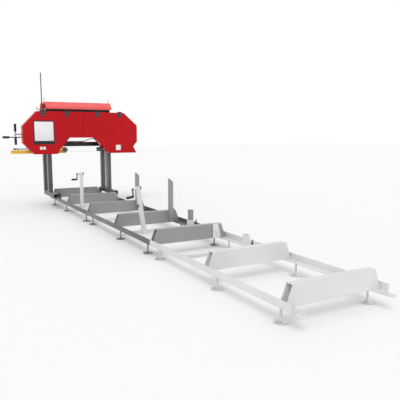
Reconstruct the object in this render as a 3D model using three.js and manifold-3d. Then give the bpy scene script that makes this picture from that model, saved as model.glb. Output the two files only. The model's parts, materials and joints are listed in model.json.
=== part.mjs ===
// Portable band sawmill. Millimetres, +Z up, +X to the right along the saw band,
// +Y along the track from its near end to its far end, where the carriage stands.
// The machine is laid out from the middle of the track's near end, on the floor,
// and the whole group is then moved so that the origin is under the near left foot.
import * as THREE from 'three';
import { mergeVertices } from 'three/addons/utils/BufferGeometryUtils.js';
import Module from 'manifold-3d';

const wasm = await Module();
wasm.setup();

// Clearances
const seatGap = 0.3;
const runningGap = 0.3;
const slidingGap = 0.5;
const cutOverrun = 5;
const weldSink = 1;

// Numbers of sides on round pieces
const nutFacets = 6;
const footScrewFacets = 8;
const smallFacets = 12;
const roundFacets = 16;
const pulleyFacets = 24;
const wheelFacets = 36;

// Track
const sectionLength = 1500;
const sectionCount = 3;
const footGauge = 548;
const railTopHeight = 120;
const railLegHeight = 40;
const railFlangeWidth = 60;
const railThickness = 5;
const endFootPlace = 104;
const middleFootPlace = 653;
const footPadRadius = 35;
const footPadRim = 3;
const footPadCone = 11;
const footScrewRadius = 6;
const footScrewRise = 12;
const footNutRadius = 11;
const footNutHeight = 10;
const tongueReach = 60;
const tongueGrip = 72;
const tongueWidth = 44;
const tongueThickness = 5;
const tongueHoleRadius = 7;

// Bunks
const bunkTopHeight = 189;
const bunkWidth = 46;
const bunkWall = 4;
const bunkEndSlant = 40;
const bunkEndClearance = 3;
const endBunkPlace = 69;

// Clamp bars
const barSize = 20;
const barFootHeight = 10;
const barFootLength = 12;
const barEndClearance = 12;
const barHoldGap = 0.4;
const nearBarBeforeJoint = 500;
const middleBarAfterJoint = 370;
const farBarAfterJoint = 400;

// Tall log stops
const stopWidth = 30;
const stopDepth = 38;
const stopWall = 3;
const stopTopHeight = 465;
const stopTopSlant = 28;
const stopMiddle = 197;
const stopPivotHeight = 142;
const stopPivotRadius = 6;
const stopNutRadius = 11;
const stopNutLength = 8;
const stopBottomHeight = 102;
const stopPlateBottom = 88;
const stopPlateThickness = 6;
const stopPlateHeel = 13;
const stopPlatePeak = 25;
const stopPlateFoot = 63;
const stopPlateRise = 19;
const stopPlateFootHeight = 121;
const stopWallThickness = 5;
const stopWallRise = 28;
const stopWallLength = 30;

// Low side rests
const nearRestMiddle = 150;
const middleRestMiddle = 212;
const nearRestTop = 201;
const middleRestTop = 240;
const restHolderSize = 42;
const restHolderWall = 4;
const restHolderTop = 160;
const restWall = 3;
const restScrewHeight = 139;
const restScrewRadius = 5;
const restScrewReach = 30;
const restHandleLength = 44;
const restHandleRadius = 4;

// Log clamps
const clampMiddleOffset = -189;
const clampFarOffset = -228;
const clampMiddleLean = -8;
const clampFarLean = 0;
const clampPostSize = 28;
const clampPostWall = 3;
const clampPostRise = 346;
const clampSleeveLength = 46;
const clampSleeveWall = 6;
const clampScrewRise = 334;
const clampScrewRadius = 5;
const clampBossRadius = 12;
const clampBossBack = 38;
const clampBossFront = 15;
const clampBossEndWall = 5;
const clampStemRadius = 8;
const clampCollarRadius = 7.5;
const clampCollarLength = 3;
const clampPadRadius = 14;
const clampPadThickness = 8;
const clampPadToothDepth = 5;
const clampHubLength = 10;
const clampCrankLength = 56;
const clampCrankWidth = 14;
const clampCrankThickness = 8;
const clampGripLength = 52;
const clampGripRadius = 10;

// Carriage. Along means along the track, from the carriage's own zero line, which
// stands this far before the track's far end
const carriageBeforeEnd = 500;

// Side frames
const tubeSize = 45;
const tubeWall = 3;
const postMiddle = 352;
const frontPostAlong = 245;
const rearPostAlong = 475;
const baseNearAlong = -5;
const baseBottomHeight = 130;
const capTopHeight = 1100;
const ventRadius = 8;
const ventRise = 90;
const axleRadius = 8;
const axleHeight = 150;
const axleNutRadius = 13;
const axleNutLength = 4;
const frontAxleAlong = 37;
const rearAxleAlong = 443;

// Track wheels
const trackWheelRadius = 38;
const trackWheelWidth = 20;
const trackWheelLip = 2;
const trackWheelSideGap = 1;

// Top beam and roof
const topBeamWidth = 50;
const topBeamWall = 3;
const topPlateThickness = 6;
const topPlateLength = 110;
const roofHalfLength = 380;
const roofSheet = 3;
const roofLipHeight = 1118;
const roofRidgeHeight = 1201;
const roofRidgeWidth = 260;
const roofSlopeRun = 60;
const roofLegWidth = 40;
const roofLugWidth = 12;
const roofLugRise = 50;
const roofLugAlong = 290;
const roofLugHoleRadius = 3;
const roofLugHoleDrop = 8;

// Lifting gear
const spindleRadius = 8;
const spindleThreadGap = 0.4;
const spindleCollarRadius = 14;
const spindleCollarHeight = 10;
const spindleBearingGap = 2;
const sprocketRadius = 33;
const sprocketThickness = 7;
const sprocketLift = 2;
const sprocketHubRadius = 15;
const sprocketHubHeight = 4;
const chainThickness = 6;
const crankHubRadius = 15;
const crankHubHeight = 12;
const crankReach = 95;
const crankArmWidth = 20;
const crankArmThickness = 7;
const crankKnobRadius = 9;
const crankKnobHeight = 30;
const spindleTipRise = 5;

// Mast
const mastRadius = 6;
const mastTopHeight = 1524;
const mastOffset = 30;
const mastAlong = 290;
const mastSocketRadius = 10;
const mastSocketLength = 40;
const mastPlateThickness = 5;

// Band wheels and saw band
const bandWheelRadius = 194;
const bandWheelWidth = 30;
const bandWheelRim = 12;
const bandWheelWeb = 6;
const bandWheelHubRadius = 30;
const bandWheelHubLength = 36;
const bandWheelHoles = 5;
const bandWheelHoleRadius = 33;
const bandWheelHolePitch = 104;
const bandWheelAlong = 140;
const wheelHeight = 835;
const idlerWheelOffset = -442;
const driveWheelOffset = 447;
const bandThickness = 1.2;
const bandWidth = 32;
const toothPitch = 22;
const toothDepth = 6;
const gulletShare = 0.25;
const toothLandShare = 0.08;
const shaftRadius = 12.5;
const shaftNutRadius = 20;
const shaftNutLength = 8;

// Housing and doors
const housingFrontAlong = 91;
const housingBackAlong = 188;
const housingSheet = 3;
const housingSideGap = 20;
const housingTopGap = 57;
const housingBottomGap = 24;
const leftTopBevelWidth = 156;
const leftTopBevelHeight = 162;
const leftBottomBevelWidth = 116;
const leftBottomBevelHeight = 125;
const rightTopBevelWidth = 166;
const rightTopBevelHeight = 147;
const archTopHeight = 797;
const archLeftTop = -151;
const archRightTop = 144;
const archLeftShoulder = -239;
const archShoulderHeight = 692;
const archLeftFoot = -302;
const archRightFoot = 306;
const chuteNotchWidth = 48;
const chuteNotchHeight = 75;
const chuteTopHeight = 750;
const chuteLipInset = 12;
const chuteMouthLength = 110;
const chuteMouthInset = 14;
const bandSlotBelow = 12;
const bandSlotAbove = 16;
const bandSlotSide = 10;
const doorSheet = 3;
const doorGap = 0.5;
const doorSplitOffset = 10;
const doorSplitGap = 2;
const doorRimDepth = 9;
const doorRimClearance = 2;
const hingeStrapWidth = 50;
const hingeStrapLength = 50;
const hingeStrapThickness = 4;
const hingeKnuckleRadius = 5;
const hingeLift = 2.5;
const leftHingeOffsets = [-440, -174];
const rightHingeOffsets = [177, 446];

// Head frame
const beamBottomHeight = 695;
const beamSize = 50;
const beamAlong = 355;
const beamReach = 560;
const cheekThickness = 5;
const cheekDrop = 33;
const cheekRise = 43;
const cheekOverlap = 35;
const padHeight = 40;
const padWidth = 44;
const innerArmOffset = 285;
const armWidth = 40;
const leftOuterArmOffset = 540;
const rightOuterArmOffset = 520;

// Tension gear
const tensionPlateThickness = 8;
const tensionPlateAlong = 252;
const tensionPlateTop = 886;
const tensionLipThickness = 8;
const tensionLipDepth = 36;
const tensionBlockHeight = 68;
const tensionBlockLength = 76;
const tensionSlackTravel = 20;
const tensionScrewRadius = 8;
const tensionScrewLug = 14;
const tensionScrewInside = 50;
const tensionCollarRadius = 13;
const tensionCollarLength = 6;
const tensionHandleOffset = -712;
const tensionHandleLength = 232;
const tensionHandleRadius = 6;
const tensionGripLength = 86;
const tensionGripRadius = 14;
const tensionHubRadius = 12;
const tensionHubLength = 24;

// Motor and belt
const motorPlateThickness = 8;
const motorPlateAlong = 262;
const motorPlateLeft = 388;
const motorPlateRight = 545;
const motorPlateTop = 1062;
const motorOffset = 459;
const motorHeight = 988;
const motorRadius = 75;
const motorLength = 190;
const motorFlangeThickness = 10;
const motorFins = 14;
const motorFinDepth = 7;
const motorFinWidth = 7;
const motorCowlLength = 45;
const motorBossRadius = 20;
const motorShaftRadius = 9.5;
const motorShaftClearance = 5;
const motorPulleyRadius = 30;
const drivePulleyRadius = 70;
const pulleyWidth = 22;
const pulleyAlong = 236;
const pulleyGrooveDepth = 11;
const beltWidth = 10;
const beltThickness = 8;
const bearingRadius = 34;
const bearingBack = 22;
const bearingFront = 8;
const terminalBoxWidth = 60;
const terminalBoxLength = 80;
const terminalBoxHeight = 34;
const terminalBoxBack = 60;

// Blade guides
const guideArmLeft = -770;
const guideArmRight = -168;
const guideArmBottom = 622;
const guideArmHeight = 38;
const guideArmDepth = 14;
const guideArmAlong = 204;
const guideArmWall = 2.5;
const guideHeadWidth = 48;
const guideHeadTop = 690;
const guideHeadThickness = 10;
const rollerRadius = 20;
const rollerLength = 30;
const rollerFlangeRadius = 25;
const rollerFlangeThickness = 5;
const rollerPinRadius = 6;
const rollerPinHead = 10;
const rollerPinHeadLength = 4;
const leftRollerOffset = -188;
const rightRollerOffset = 214;
const hangerThickness = 6;
const hangerWidth = 60;
const hangerOffset = -285;
const hangerWall = 5;
const armHandleRadius = 5;
const armHandleStart = -560;
const armHandleEnd = -742;
const armHandleRise = 14;
const armKnobRadius = 9;
const armKnobLength = 34;

// Push handle and switch box
const pushRodHeight = 802;
const pushRodAlong = 376;
const pushRodRadius = 6;
const pushRodEnd = -757;
const pushGripLength = 71;
const pushGripRadius = 14;
const pushPlateThickness = 6;
const pushPlateHeight = 74;
const pushPlateWidth = 34;
const switchBoxWidth = 62;
const switchBoxDepth = 44;
const switchBoxHeight = 92;
const switchBoxOffset = -500;
const switchButtonRadius = 11;
const switchButtonRise = 6;
const switchButtonShares = [0.3, 0.7];

// Cable along the head beam
const cableRadius = 5;
const cableExitRise = 54;
const cableOverSleeve = 6;
const cableBehind = 18;
const cableSlopeRun = 90;
const cableDriveRise = 110;
const cableEndRun = 36;
const cableSteps = 34;
const cableFacets = 8;

// Finishes
const redPaint = { color: 0xbe1e29, roughness: 0.42, metalness: 0.1 };
const roofPaint = { color: 0xf87a79, roughness: 0.45, metalness: 0.1 };
const greyPaint = { color: 0x95959a, roughness: 0.5, metalness: 0.5 };
const postSteel = { color: 0x6a6a6c, roughness: 0.45, metalness: 0.6 };
const paleSteel = { color: 0xe2e2e4, roughness: 0.5, metalness: 0.3 };
const blackPaint = { color: 0x2b2a2a, roughness: 0.5, metalness: 0.2 };
const blackRubber = { color: 0x17181a, roughness: 0.8, metalness: 0 };
const brightSteel = { color: 0xc4c5c8, roughness: 0.3, metalness: 0.9 };
const darkSteel = { color: 0x55565a, roughness: 0.45, metalness: 0.8 };
const yellowPaint = { color: 0xd8a032, roughness: 0.45, metalness: 0.1 };
const castGrey = { color: 0x7d8084, roughness: 0.6, metalness: 0.6 };
const greyCable = { color: 0x7a7c7e, roughness: 0.7, metalness: 0 };

// Places that follow from the sizes above
const trackLength = sectionLength * sectionCount;
const nearBarPlace = sectionLength - nearBarBeforeJoint;
const middleBarPlace = sectionLength + middleBarAfterJoint;
const farBarPlace = trackLength - sectionLength + farBarAfterJoint;
const carriagePlace = trackLength - carriageBeforeEnd;
const frontPostPlace = carriagePlace + frontPostAlong;
const rearPostPlace = carriagePlace + rearPostAlong;
const baseNearPlace = carriagePlace + baseNearAlong;
const frontAxlePlace = carriagePlace + frontAxleAlong;
const rearAxlePlace = carriagePlace + rearAxleAlong;
const roofLugPlace = carriagePlace + roofLugAlong;
const mastPlace = carriagePlace + mastAlong;
const bandWheelPlace = carriagePlace + bandWheelAlong;
const housingFrontPlace = carriagePlace + housingFrontAlong;
const housingBackPlace = carriagePlace + housingBackAlong;
const beamPlace = carriagePlace + beamAlong;
const tensionPlatePlace = carriagePlace + tensionPlateAlong;
const motorPlatePlace = carriagePlace + motorPlateAlong;
const pulleyPlace = carriagePlace + pulleyAlong;
const guideArmPlace = carriagePlace + guideArmAlong;
const pushRodPlace = carriagePlace + pushRodAlong;
const railOuter = (footGauge + railFlangeWidth) / 2;
const railInnerFace = railOuter - railThickness;
const railBottomHeight = railTopHeight - railLegHeight;
const flangeTopHeight = railBottomHeight + railThickness;
const railLegMiddle = railOuter - railThickness / 2;
const bunkBottomHeight = flangeTopHeight + seatGap;
const bunkBottomHalf = railInnerFace - bunkEndClearance;
const bunkTopHalf = bunkBottomHalf - bunkEndSlant;
const barBottomHeight = flangeTopHeight + seatGap + barFootHeight;
const barHeight = barBottomHeight + barSize / 2;
const barHalf = railInnerFace - barEndClearance;
const baseTopHeight = baseBottomHeight + tubeSize;
const baseFarPlace = rearPostPlace + tubeSize / 2;
const postInnerFace = postMiddle - tubeSize / 2;
const postOuterFace = postMiddle + tubeSize / 2;
const capBottomHeight = capTopHeight - tubeSize;
const frontPostFront = frontPostPlace - tubeSize / 2;
const bandInnerRadius = bandWheelRadius + seatGap;
const bandOuterRadius = bandInnerRadius + bandThickness;
const bandBottomHeight = wheelHeight - bandOuterRadius;
const beamTopHeight = beamBottomHeight + beamSize;
const beamHeight = beamBottomHeight + beamSize / 2;
const cheekBottomHeight = beamBottomHeight - cheekDrop;
const cheekTopHeight = beamTopHeight + cheekRise;
const beamFront = beamPlace - beamSize / 2;
const beamBack = beamPlace + beamSize / 2;
const armFront = housingBackPlace + seatGap;
const doorBack = housingFrontPlace - doorGap;
const doorFront = doorBack - doorSheet;
const rollerHeight = bandBottomHeight + bandThickness + runningGap + rollerRadius;
const bandBackPlace = bandWheelPlace + bandWidth / 2;

// Solids from geometries and back

function withoutSlivers(geometry) {
  const kept = [];
  const index = geometry.index.array;
  for (let corner = 0; corner < index.length; corner += 3) {
    const [a, b, c] = index.slice(corner, corner + 3);
    if (a !== b && b !== c && c !== a) kept.push(a, b, c);
  }
  geometry.setIndex(kept);
  return geometry;
}

function signedVolume(geometry) {
  const corners = [new THREE.Vector3(), new THREE.Vector3(), new THREE.Vector3()];
  let total = 0;
  for (let corner = 0; corner < geometry.index.count; corner += 3) {
    corners.forEach((point, step) => {
      point.fromBufferAttribute(geometry.attributes.position, geometry.index.getX(corner + step));
    });
    total += corners[0].dot(corners[1].clone().cross(corners[2])) / 6;
  }
  return total;
}

function solidOf(geometry) {
  const bare = geometry.clone();
  bare.deleteAttribute('normal');
  bare.deleteAttribute('uv');
  const merged = withoutSlivers(mergeVertices(bare));
  const corners = Array.from(merged.index.array);
  if (signedVolume(merged) < 0) corners.reverse();
  return new wasm.Manifold(new wasm.Mesh({
    numProp: 3,
    vertProperties: new Float32Array(merged.attributes.position.array),
    triVerts: new Uint32Array(corners),
  }));
}

function geometryOf(solid) {
  const mesh = solid.getMesh();
  const geometry = new THREE.BufferGeometry();
  geometry.setAttribute('position', new THREE.BufferAttribute(mesh.vertProperties, 3));
  geometry.setIndex(new THREE.BufferAttribute(mesh.triVerts, 1));
  geometry.computeVertexNormals();
  return geometry;
}

function join(first, ...others) {
  return geometryOf(others.reduce((whole, other) => whole.add(solidOf(other)), solidOf(first)));
}

function cut(first, ...others) {
  return geometryOf(others.reduce((whole, other) => whole.subtract(solidOf(other)), solidOf(first)));
}

function overlapOf(first, second) {
  return geometryOf(solidOf(first).intersect(solidOf(second)));
}

// Simple forms, given by the stretches that they cover

const around = (middle, size) => [middle - size / 2, middle + size / 2];

const grown = ([low, high], amount) => [low - amount, high + amount];

// A stretch from the inner to the outer distance on the left (-1) or right (+1) side
function sideSpan(side, inner, outer) {
  return side < 0 ? [-outer, -inner] : [inner, outer];
}

function block([left, right], [near, far], [low, high]) {
  const geometry = new THREE.BoxGeometry(right - left, far - near, high - low);
  return geometry.translate((left + right) / 2, (near + far) / 2, (low + high) / 2);
}

function rodX(radius, [left, right], y, z, facets = roundFacets) {
  const geometry = new THREE.CylinderGeometry(radius, radius, right - left, facets);
  return geometry.rotateZ(Math.PI / 2).translate((left + right) / 2, y, z);
}

function rodY(radius, x, [near, far], z, facets = roundFacets) {
  const geometry = new THREE.CylinderGeometry(radius, radius, far - near, facets);
  return geometry.translate(x, (near + far) / 2, z);
}

function rodZ(radius, x, y, [low, high], facets = roundFacets) {
  const geometry = new THREE.CylinderGeometry(radius, radius, high - low, facets);
  return geometry.rotateX(Math.PI / 2).translate(x, y, (low + high) / 2);
}

function shapeOf(points) {
  return new THREE.Shape(points.map(([across, up]) => new THREE.Vector2(across, up)));
}

// A plate with its outline in the front view (x, z)
function frontPlate(points, [near, far]) {
  const geometry = new THREE.ExtrudeGeometry(shapeOf(points), { depth: far - near, bevelEnabled: false });
  return geometry.rotateX(Math.PI / 2).translate(0, far, 0);
}

// A plate with its outline in the side view (y, z)
function sidePlate(points, [left, right]) {
  const geometry = new THREE.ExtrudeGeometry(shapeOf(points), { depth: right - left, bevelEnabled: false });
  const turn = new THREE.Matrix4().set(0, 0, 1, 0, 1, 0, 0, 0, 0, 1, 0, 0, 0, 0, 0, 1);
  return geometry.applyMatrix4(turn).translate(left, 0, 0);
}

// A plate with its outline in the plan (x, y)
function planPlate(points, [low, high]) {
  const geometry = new THREE.ExtrudeGeometry(shapeOf(points), { depth: high - low, bevelEnabled: false });
  return geometry.translate(0, 0, low);
}

// A ring or disc turned round an axis; the profile holds [radius, place along the axis]
function turned(profile, facets) {
  const points = profile.map(([radius, along]) => new THREE.Vector2(radius, along));
  return new THREE.LatheGeometry(points, facets);
}

const turnedX = (profile, y, z, facets) => turned(profile, facets).rotateZ(-Math.PI / 2).translate(0, y, z);
const turnedY = (profile, x, z, facets) => turned(profile, facets).translate(x, 0, z);

// The outline drawn in by one distance all round, for a sheet of even thickness.
// The points run anticlockwise.
function drawnIn(points, distance) {
  return points.map((point, place) => {
    const before = points[(place + points.length - 1) % points.length];
    const after = points[(place + 1) % points.length];
    const arriving = new THREE.Vector2(point[0] - before[0], point[1] - before[1]).normalize();
    const leaving = new THREE.Vector2(after[0] - point[0], after[1] - point[1]).normalize();
    const mitre = new THREE.Vector2(-arriving.y - leaving.y, arriving.x + leaving.x);
    const stretch = distance / (1 + arriving.dot(leaving));
    return [point[0] + mitre.x * stretch, point[1] + mitre.y * stretch];
  });
}

// The closed line of a band or belt drawn tight round two wheels, as [across, up] points
function loopLine(first, firstRadius, second, secondRadius, facets) {
  const [dx, dz] = [second[0] - first[0], second[1] - first[1]];
  const distance = Math.hypot(dx, dz);
  const heading = Math.atan2(dz, dx);
  const lean = Math.acos((firstRadius - secondRadius) / distance);
  const points = [];
  const wrap = (centre, radius, from, to) => {
    const steps = Math.max(2, Math.round(facets * (to - from) / (2 * Math.PI)));
    for (let step = 0; step <= steps; step += 1) {
      const angle = from + (to - from) * step / steps;
      points.push([centre[0] + radius * Math.cos(angle), centre[1] + radius * Math.sin(angle)]);
    }
  };
  wrap(first, firstRadius, heading + lean, heading + 2 * Math.PI - lean);
  wrap(second, secondRadius, heading - lean, heading + lean);
  return points;
}

// Scene graph

const machine = new THREE.Group();
const track = new THREE.Group();
const carriage = new THREE.Group();
const head = new THREE.Group();
machine.add(track, carriage);
carriage.add(head);

function place(group, name, geometry, finish) {
  const mesh = new THREE.Mesh(geometryOf(solidOf(geometry)), new THREE.MeshStandardMaterial(finish));
  mesh.name = name;
  group.add(mesh);
  return mesh;
}

// Track: rails with their feet, bunks and bars

function levellingFoot(x, y) {
  const pad = turned([
    [0, 0],
    [footPadRadius, 0],
    [footPadRadius, footPadRim],
    [footScrewRadius, footPadRim + footPadCone],
    [0, footPadRim + footPadCone],
  ], smallFacets).rotateX(Math.PI / 2).translate(x, y, 0);
  const screw = rodZ(footScrewRadius, x, y, [footPadRim, flangeTopHeight + footScrewRise], footScrewFacets);
  const nut = rodZ(
    footNutRadius,
    x,
    y,
    [railBottomHeight - footNutHeight, railBottomHeight + weldSink],
    nutFacets,
  );
  return join(pad, screw, nut);
}

// The tongue is welded under its own rail and carries the end of the next one
function railTongue(middle, near) {
  const radius = tongueWidth / 2;
  const outline = new THREE.Shape();
  outline.moveTo(middle + radius, near + tongueGrip);
  outline.lineTo(middle - radius, near + tongueGrip);
  outline.lineTo(middle - radius, near - tongueReach + radius);
  outline.absarc(middle, near - tongueReach + radius, radius, Math.PI, 2 * Math.PI, false);
  const tongueTop = railBottomHeight - seatGap;
  const plate = new THREE.ExtrudeGeometry(outline, {
    depth: tongueThickness,
    bevelEnabled: false,
    curveSegments: smallFacets / 2,
  }).translate(0, 0, tongueTop - tongueThickness);
  const weld = block(
    around(middle, tongueWidth - tongueThickness * 2),
    [near + tongueThickness, near + tongueGrip - tongueThickness],
    [tongueTop - weldSink, railBottomHeight + weldSink],
  );
  const hole = rodZ(
    tongueHoleRadius,
    middle,
    near - tongueReach + radius,
    grown([tongueTop - tongueThickness, tongueTop], cutOverrun),
    smallFacets,
  );
  return cut(join(plate, weld), hole);
}

function footPlaces(section) {
  const near = section * sectionLength;
  const farSection = section === sectionCount - 1;
  const middle = farSection ? near + sectionLength - middleFootPlace : near + middleFootPlace;
  return [near + endFootPlace, middle, near + sectionLength - endFootPlace];
}

function rail(side, section) {
  const near = section * sectionLength;
  const middle = side * footGauge / 2;
  const leg = block(
    sideSpan(side, railInnerFace, railOuter),
    [near, near + sectionLength - seatGap],
    [railBottomHeight, railTopHeight],
  );
  const flange = block(
    sideSpan(side, railOuter - railFlangeWidth, railOuter),
    [near, near + sectionLength - seatGap],
    [railBottomHeight, flangeTopHeight],
  );
  const feet = footPlaces(section).map((y) => levellingFoot(middle, y));
  return join(leg, flange, railTongue(middle, near), ...feet);
}

const sectionNames = ['near', 'middle', 'far'];
const sectionFinishes = [paleSteel, greyPaint, greyPaint];
for (let section = 0; section < sectionCount; section += 1) {
  const ending = sectionNames[section];
  place(track, `rail_left_${ending}`, rail(-1, section), sectionFinishes[section]);
  place(track, `rail_right_${ending}`, rail(1, section), sectionFinishes[section]);
}

function bunkOutline(grow, top) {
  return [
    [-bunkBottomHalf - grow, bunkBottomHeight - grow],
    [bunkBottomHalf + grow, bunkBottomHeight - grow],
    [bunkTopHalf + grow, top],
    [-bunkTopHalf - grow, top],
  ];
}

// A folded channel, open below and at its slanted ends
function bunk(y) {
  const outside = frontPlate(bunkOutline(0, bunkTopHeight), around(y, bunkWidth));
  const inside = frontPlate(
    bunkOutline(cutOverrun, bunkTopHeight - bunkWall),
    around(y, bunkWidth - 2 * bunkWall),
  );
  return cut(outside, inside);
}

// The bracket that carries a tall stop: a plate on the bunk's front, a wall that
// the upright leans on, and the pivot bolt
function stopBracket(y) {
  const bunkFront = y - bunkWidth / 2;
  const plateFront = bunkFront - stopPlateThickness;
  const left = stopMiddle - stopWidth / 2;
  const right = stopMiddle + stopWidth / 2 + slidingGap;
  const top = bunkTopHeight + stopWallThickness;
  const plate = frontPlate([
    [left, stopPlateBottom],
    [right + stopPlateHeel, stopPlateBottom],
    [right + stopPlateFoot, stopPlateFootHeight],
    [right + stopPlatePeak, bunkTopHeight + stopPlateRise],
    [right + stopWallThickness, top],
    [left, top],
  ], [plateFront, bunkFront + weldSink]);
  const wall = block(
    [right, right + stopWallThickness],
    [plateFront - stopWallLength, plateFront + weldSink],
    [top - stopWallRise, top],
  );
  const boltEnd = plateFront - slidingGap - stopDepth - slidingGap;
  const bolt = rodY(
    stopPivotRadius,
    stopMiddle,
    [boltEnd - stopNutLength, bunkFront],
    stopPivotHeight,
    smallFacets,
  );
  const nut = rodY(stopNutRadius, stopMiddle, [boltEnd - stopNutLength, boltEnd], stopPivotHeight, nutFacets);
  return join(plate, wall, bolt, nut);
}

const stopSections = [3, 4];
const plateSection = 5;
const bunkCount = 2 * sectionCount + 1;
const bunkPitch = sectionLength / 2;

// A plain plate on a bunk's front, for a stop that can be added there
function bunkPlate(y) {
  const bunkFront = y - bunkWidth / 2;
  const left = stopMiddle - stopWidth / 2;
  const right = stopMiddle + stopWidth / 2;
  return frontPlate([
    [left, bunkBottomHeight],
    [right + stopPlatePeak + stopPlateHeel, bunkBottomHeight],
    [right + stopPlateHeel, bunkTopHeight + stopWallThickness],
    [left, bunkTopHeight + stopWallThickness],
  ], [bunkFront - stopPlateThickness, bunkFront + weldSink]);
}

function bunkPlace(number) {
  const fromFar = (number - 1) * bunkPitch;
  return THREE.MathUtils.clamp(trackLength - fromFar, endBunkPlace, trackLength - endBunkPlace);
}

for (let number = 1; number <= bunkCount; number += 1) {
  const y = bunkPlace(number);
  const extras = [];
  if (stopSections.includes(number)) extras.push(stopBracket(y));
  if (number === plateSection) extras.push(bunkPlate(y));
  place(track, `bunk_${number}`, join(bunk(y), ...extras), number > bunkCount - 2 ? paleSteel : greyPaint);
}

const barPlaces = { near: nearBarPlace, middle: middleBarPlace, far: farBarPlace };
const restMiddles = { near: nearRestMiddle, middle: middleRestMiddle };
const restTops = { near: nearRestTop, middle: middleRestTop };

function plainBar(y) {
  const bar = block([-barHalf, barHalf], around(y, barSize), around(barHeight, barSize));
  const feet = [-1, 1].map((side) => block(
    sideSpan(side, barHalf - barFootLength, barHalf),
    around(y, barSize),
    [flangeTopHeight + seatGap, barBottomHeight + weldSink],
  ));
  return join(bar, ...feet);
}

// The holder on the bar in which a low rest slides up and down
function barWithHolder(y, restMiddle) {
  const wide = around(restMiddle, restHolderSize);
  const deep = around(y, restHolderSize);
  const barTop = barHeight + barSize / 2;
  const holder = cut(
    block(wide, deep, [barBottomHeight, restHolderTop]),
    block(grown(wide, -restHolderWall), grown(deep, -restHolderWall), [barTop, restHolderTop + cutOverrun]),
  );
  const screwHole = rodX(
    restScrewRadius + runningGap,
    [restMiddle, restMiddle + restHolderSize],
    y,
    restScrewHeight,
    smallFacets,
  );
  return join(plainBar(y), cut(holder, screwHole));
}

for (const [ending, y] of Object.entries(barPlaces)) {
  const bar = ending in restMiddles ? barWithHolder(y, restMiddles[ending]) : plainBar(y);
  place(track, `clamp_bar_${ending}`, bar, paleSteel);
}

// Tall stop: a square tube with a slanted top, hung on the bracket's bolt
function logStop(y) {
  const back = y - bunkWidth / 2 - stopPlateThickness - slidingGap;
  const depth = [back - stopDepth, back];
  const [left, right] = around(stopMiddle, stopWidth);
  const outside = frontPlate([
    [left, stopBottomHeight],
    [right, stopBottomHeight],
    [right, stopTopHeight - stopTopSlant],
    [left, stopTopHeight],
  ], depth);
  const inside = block(
    grown([left, right], -stopWall),
    grown(depth, -stopWall),
    [stopBottomHeight - cutOverrun, stopTopHeight + cutOverrun],
  );
  const hole = rodY(
    stopPivotRadius + runningGap,
    stopMiddle,
    grown(depth, cutOverrun),
    stopPivotHeight,
    smallFacets,
  );
  return cut(outside, inside, hole);
}

place(track, 'log_stop_far', logStop(bunkPlace(stopSections[0])), greyPaint);
place(track, 'log_stop_middle', logStop(bunkPlace(stopSections[1])), greyPaint);

// Low rest: a short square tube that stands on the bar inside its holder
function sideRest(y, restMiddle, restTop) {
  const size = restHolderSize - 2 * restHolderWall - 2 * slidingGap;
  const wide = around(restMiddle, size);
  const deep = around(y, size);
  const tall = [barHeight + barSize / 2 + seatGap, restTop];
  return cut(
    block(wide, deep, tall),
    block(grown(wide, -restWall), grown(deep, -restWall), grown(tall, cutOverrun)),
  );
}

function restScrew(y, restMiddle) {
  const tip = restMiddle + restHolderSize / 2 - restHolderWall;
  const handleMiddle = tip + restHolderWall + restScrewReach;
  const screw = rodX(
    restScrewRadius,
    [tip, handleMiddle + restHandleRadius],
    y,
    restScrewHeight,
    smallFacets,
  );
  const handle = rodZ(
    restHandleRadius,
    handleMiddle,
    y,
    around(restScrewHeight, restHandleLength),
    smallFacets,
  );
  return join(screw, handle);
}

for (const [ending, restMiddle] of Object.entries(restMiddles)) {
  const y = barPlaces[ending];
  const rest = sideRest(y, restMiddle, restTops[ending]);
  place(track, `side_rest_${ending}`, rest, ending === 'near' ? paleSteel : greyPaint);
  place(track, `rest_screw_${ending}`, restScrew(y, restMiddle), darkSteel);
}

// Log clamps, each in a group of its own at the middle of its bar

// A sleeve on the bar and a tube that leans from it, with the screw's housing on top
function clampPost(lean) {
  const sleeveSize = barSize + 2 * barHoldGap + 2 * clampSleeveWall;
  const turn = THREE.MathUtils.degToRad(lean);
  const sleeve = block(around(0, clampSleeveLength), around(0, sleeveSize), around(0, sleeveSize));
  const window = block(
    grown(around(0, clampSleeveLength), cutOverrun),
    around(0, barSize + 2 * barHoldGap),
    around(0, barSize + 2 * barHoldGap),
  );
  const tube = block(around(0, clampPostSize), around(0, clampPostSize), [0, clampPostRise]).rotateY(turn);
  const hollow = block(
    around(0, clampPostSize - 2 * clampPostWall),
    around(0, clampPostSize - 2 * clampPostWall),
    [0, clampPostRise + cutOverrun],
  ).rotateY(turn);
  const boss = rodX(clampBossRadius, [-clampBossBack, clampBossFront], 0, clampScrewRise).rotateY(turn);
  const bore = rodX(
    clampStemRadius + runningGap,
    [clampBossEndWall - clampBossBack, clampBossFront + cutOverrun],
    0,
    clampScrewRise,
  ).rotateY(turn);
  const screwHole = rodX(
    clampScrewRadius + runningGap,
    [-clampBossBack - cutOverrun, 0],
    0,
    clampScrewRise,
  ).rotateY(turn);
  const open = cut(join(sleeve, tube), window, hollow);
  return cut(join(open, boss), bore, screwHole);
}

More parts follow.
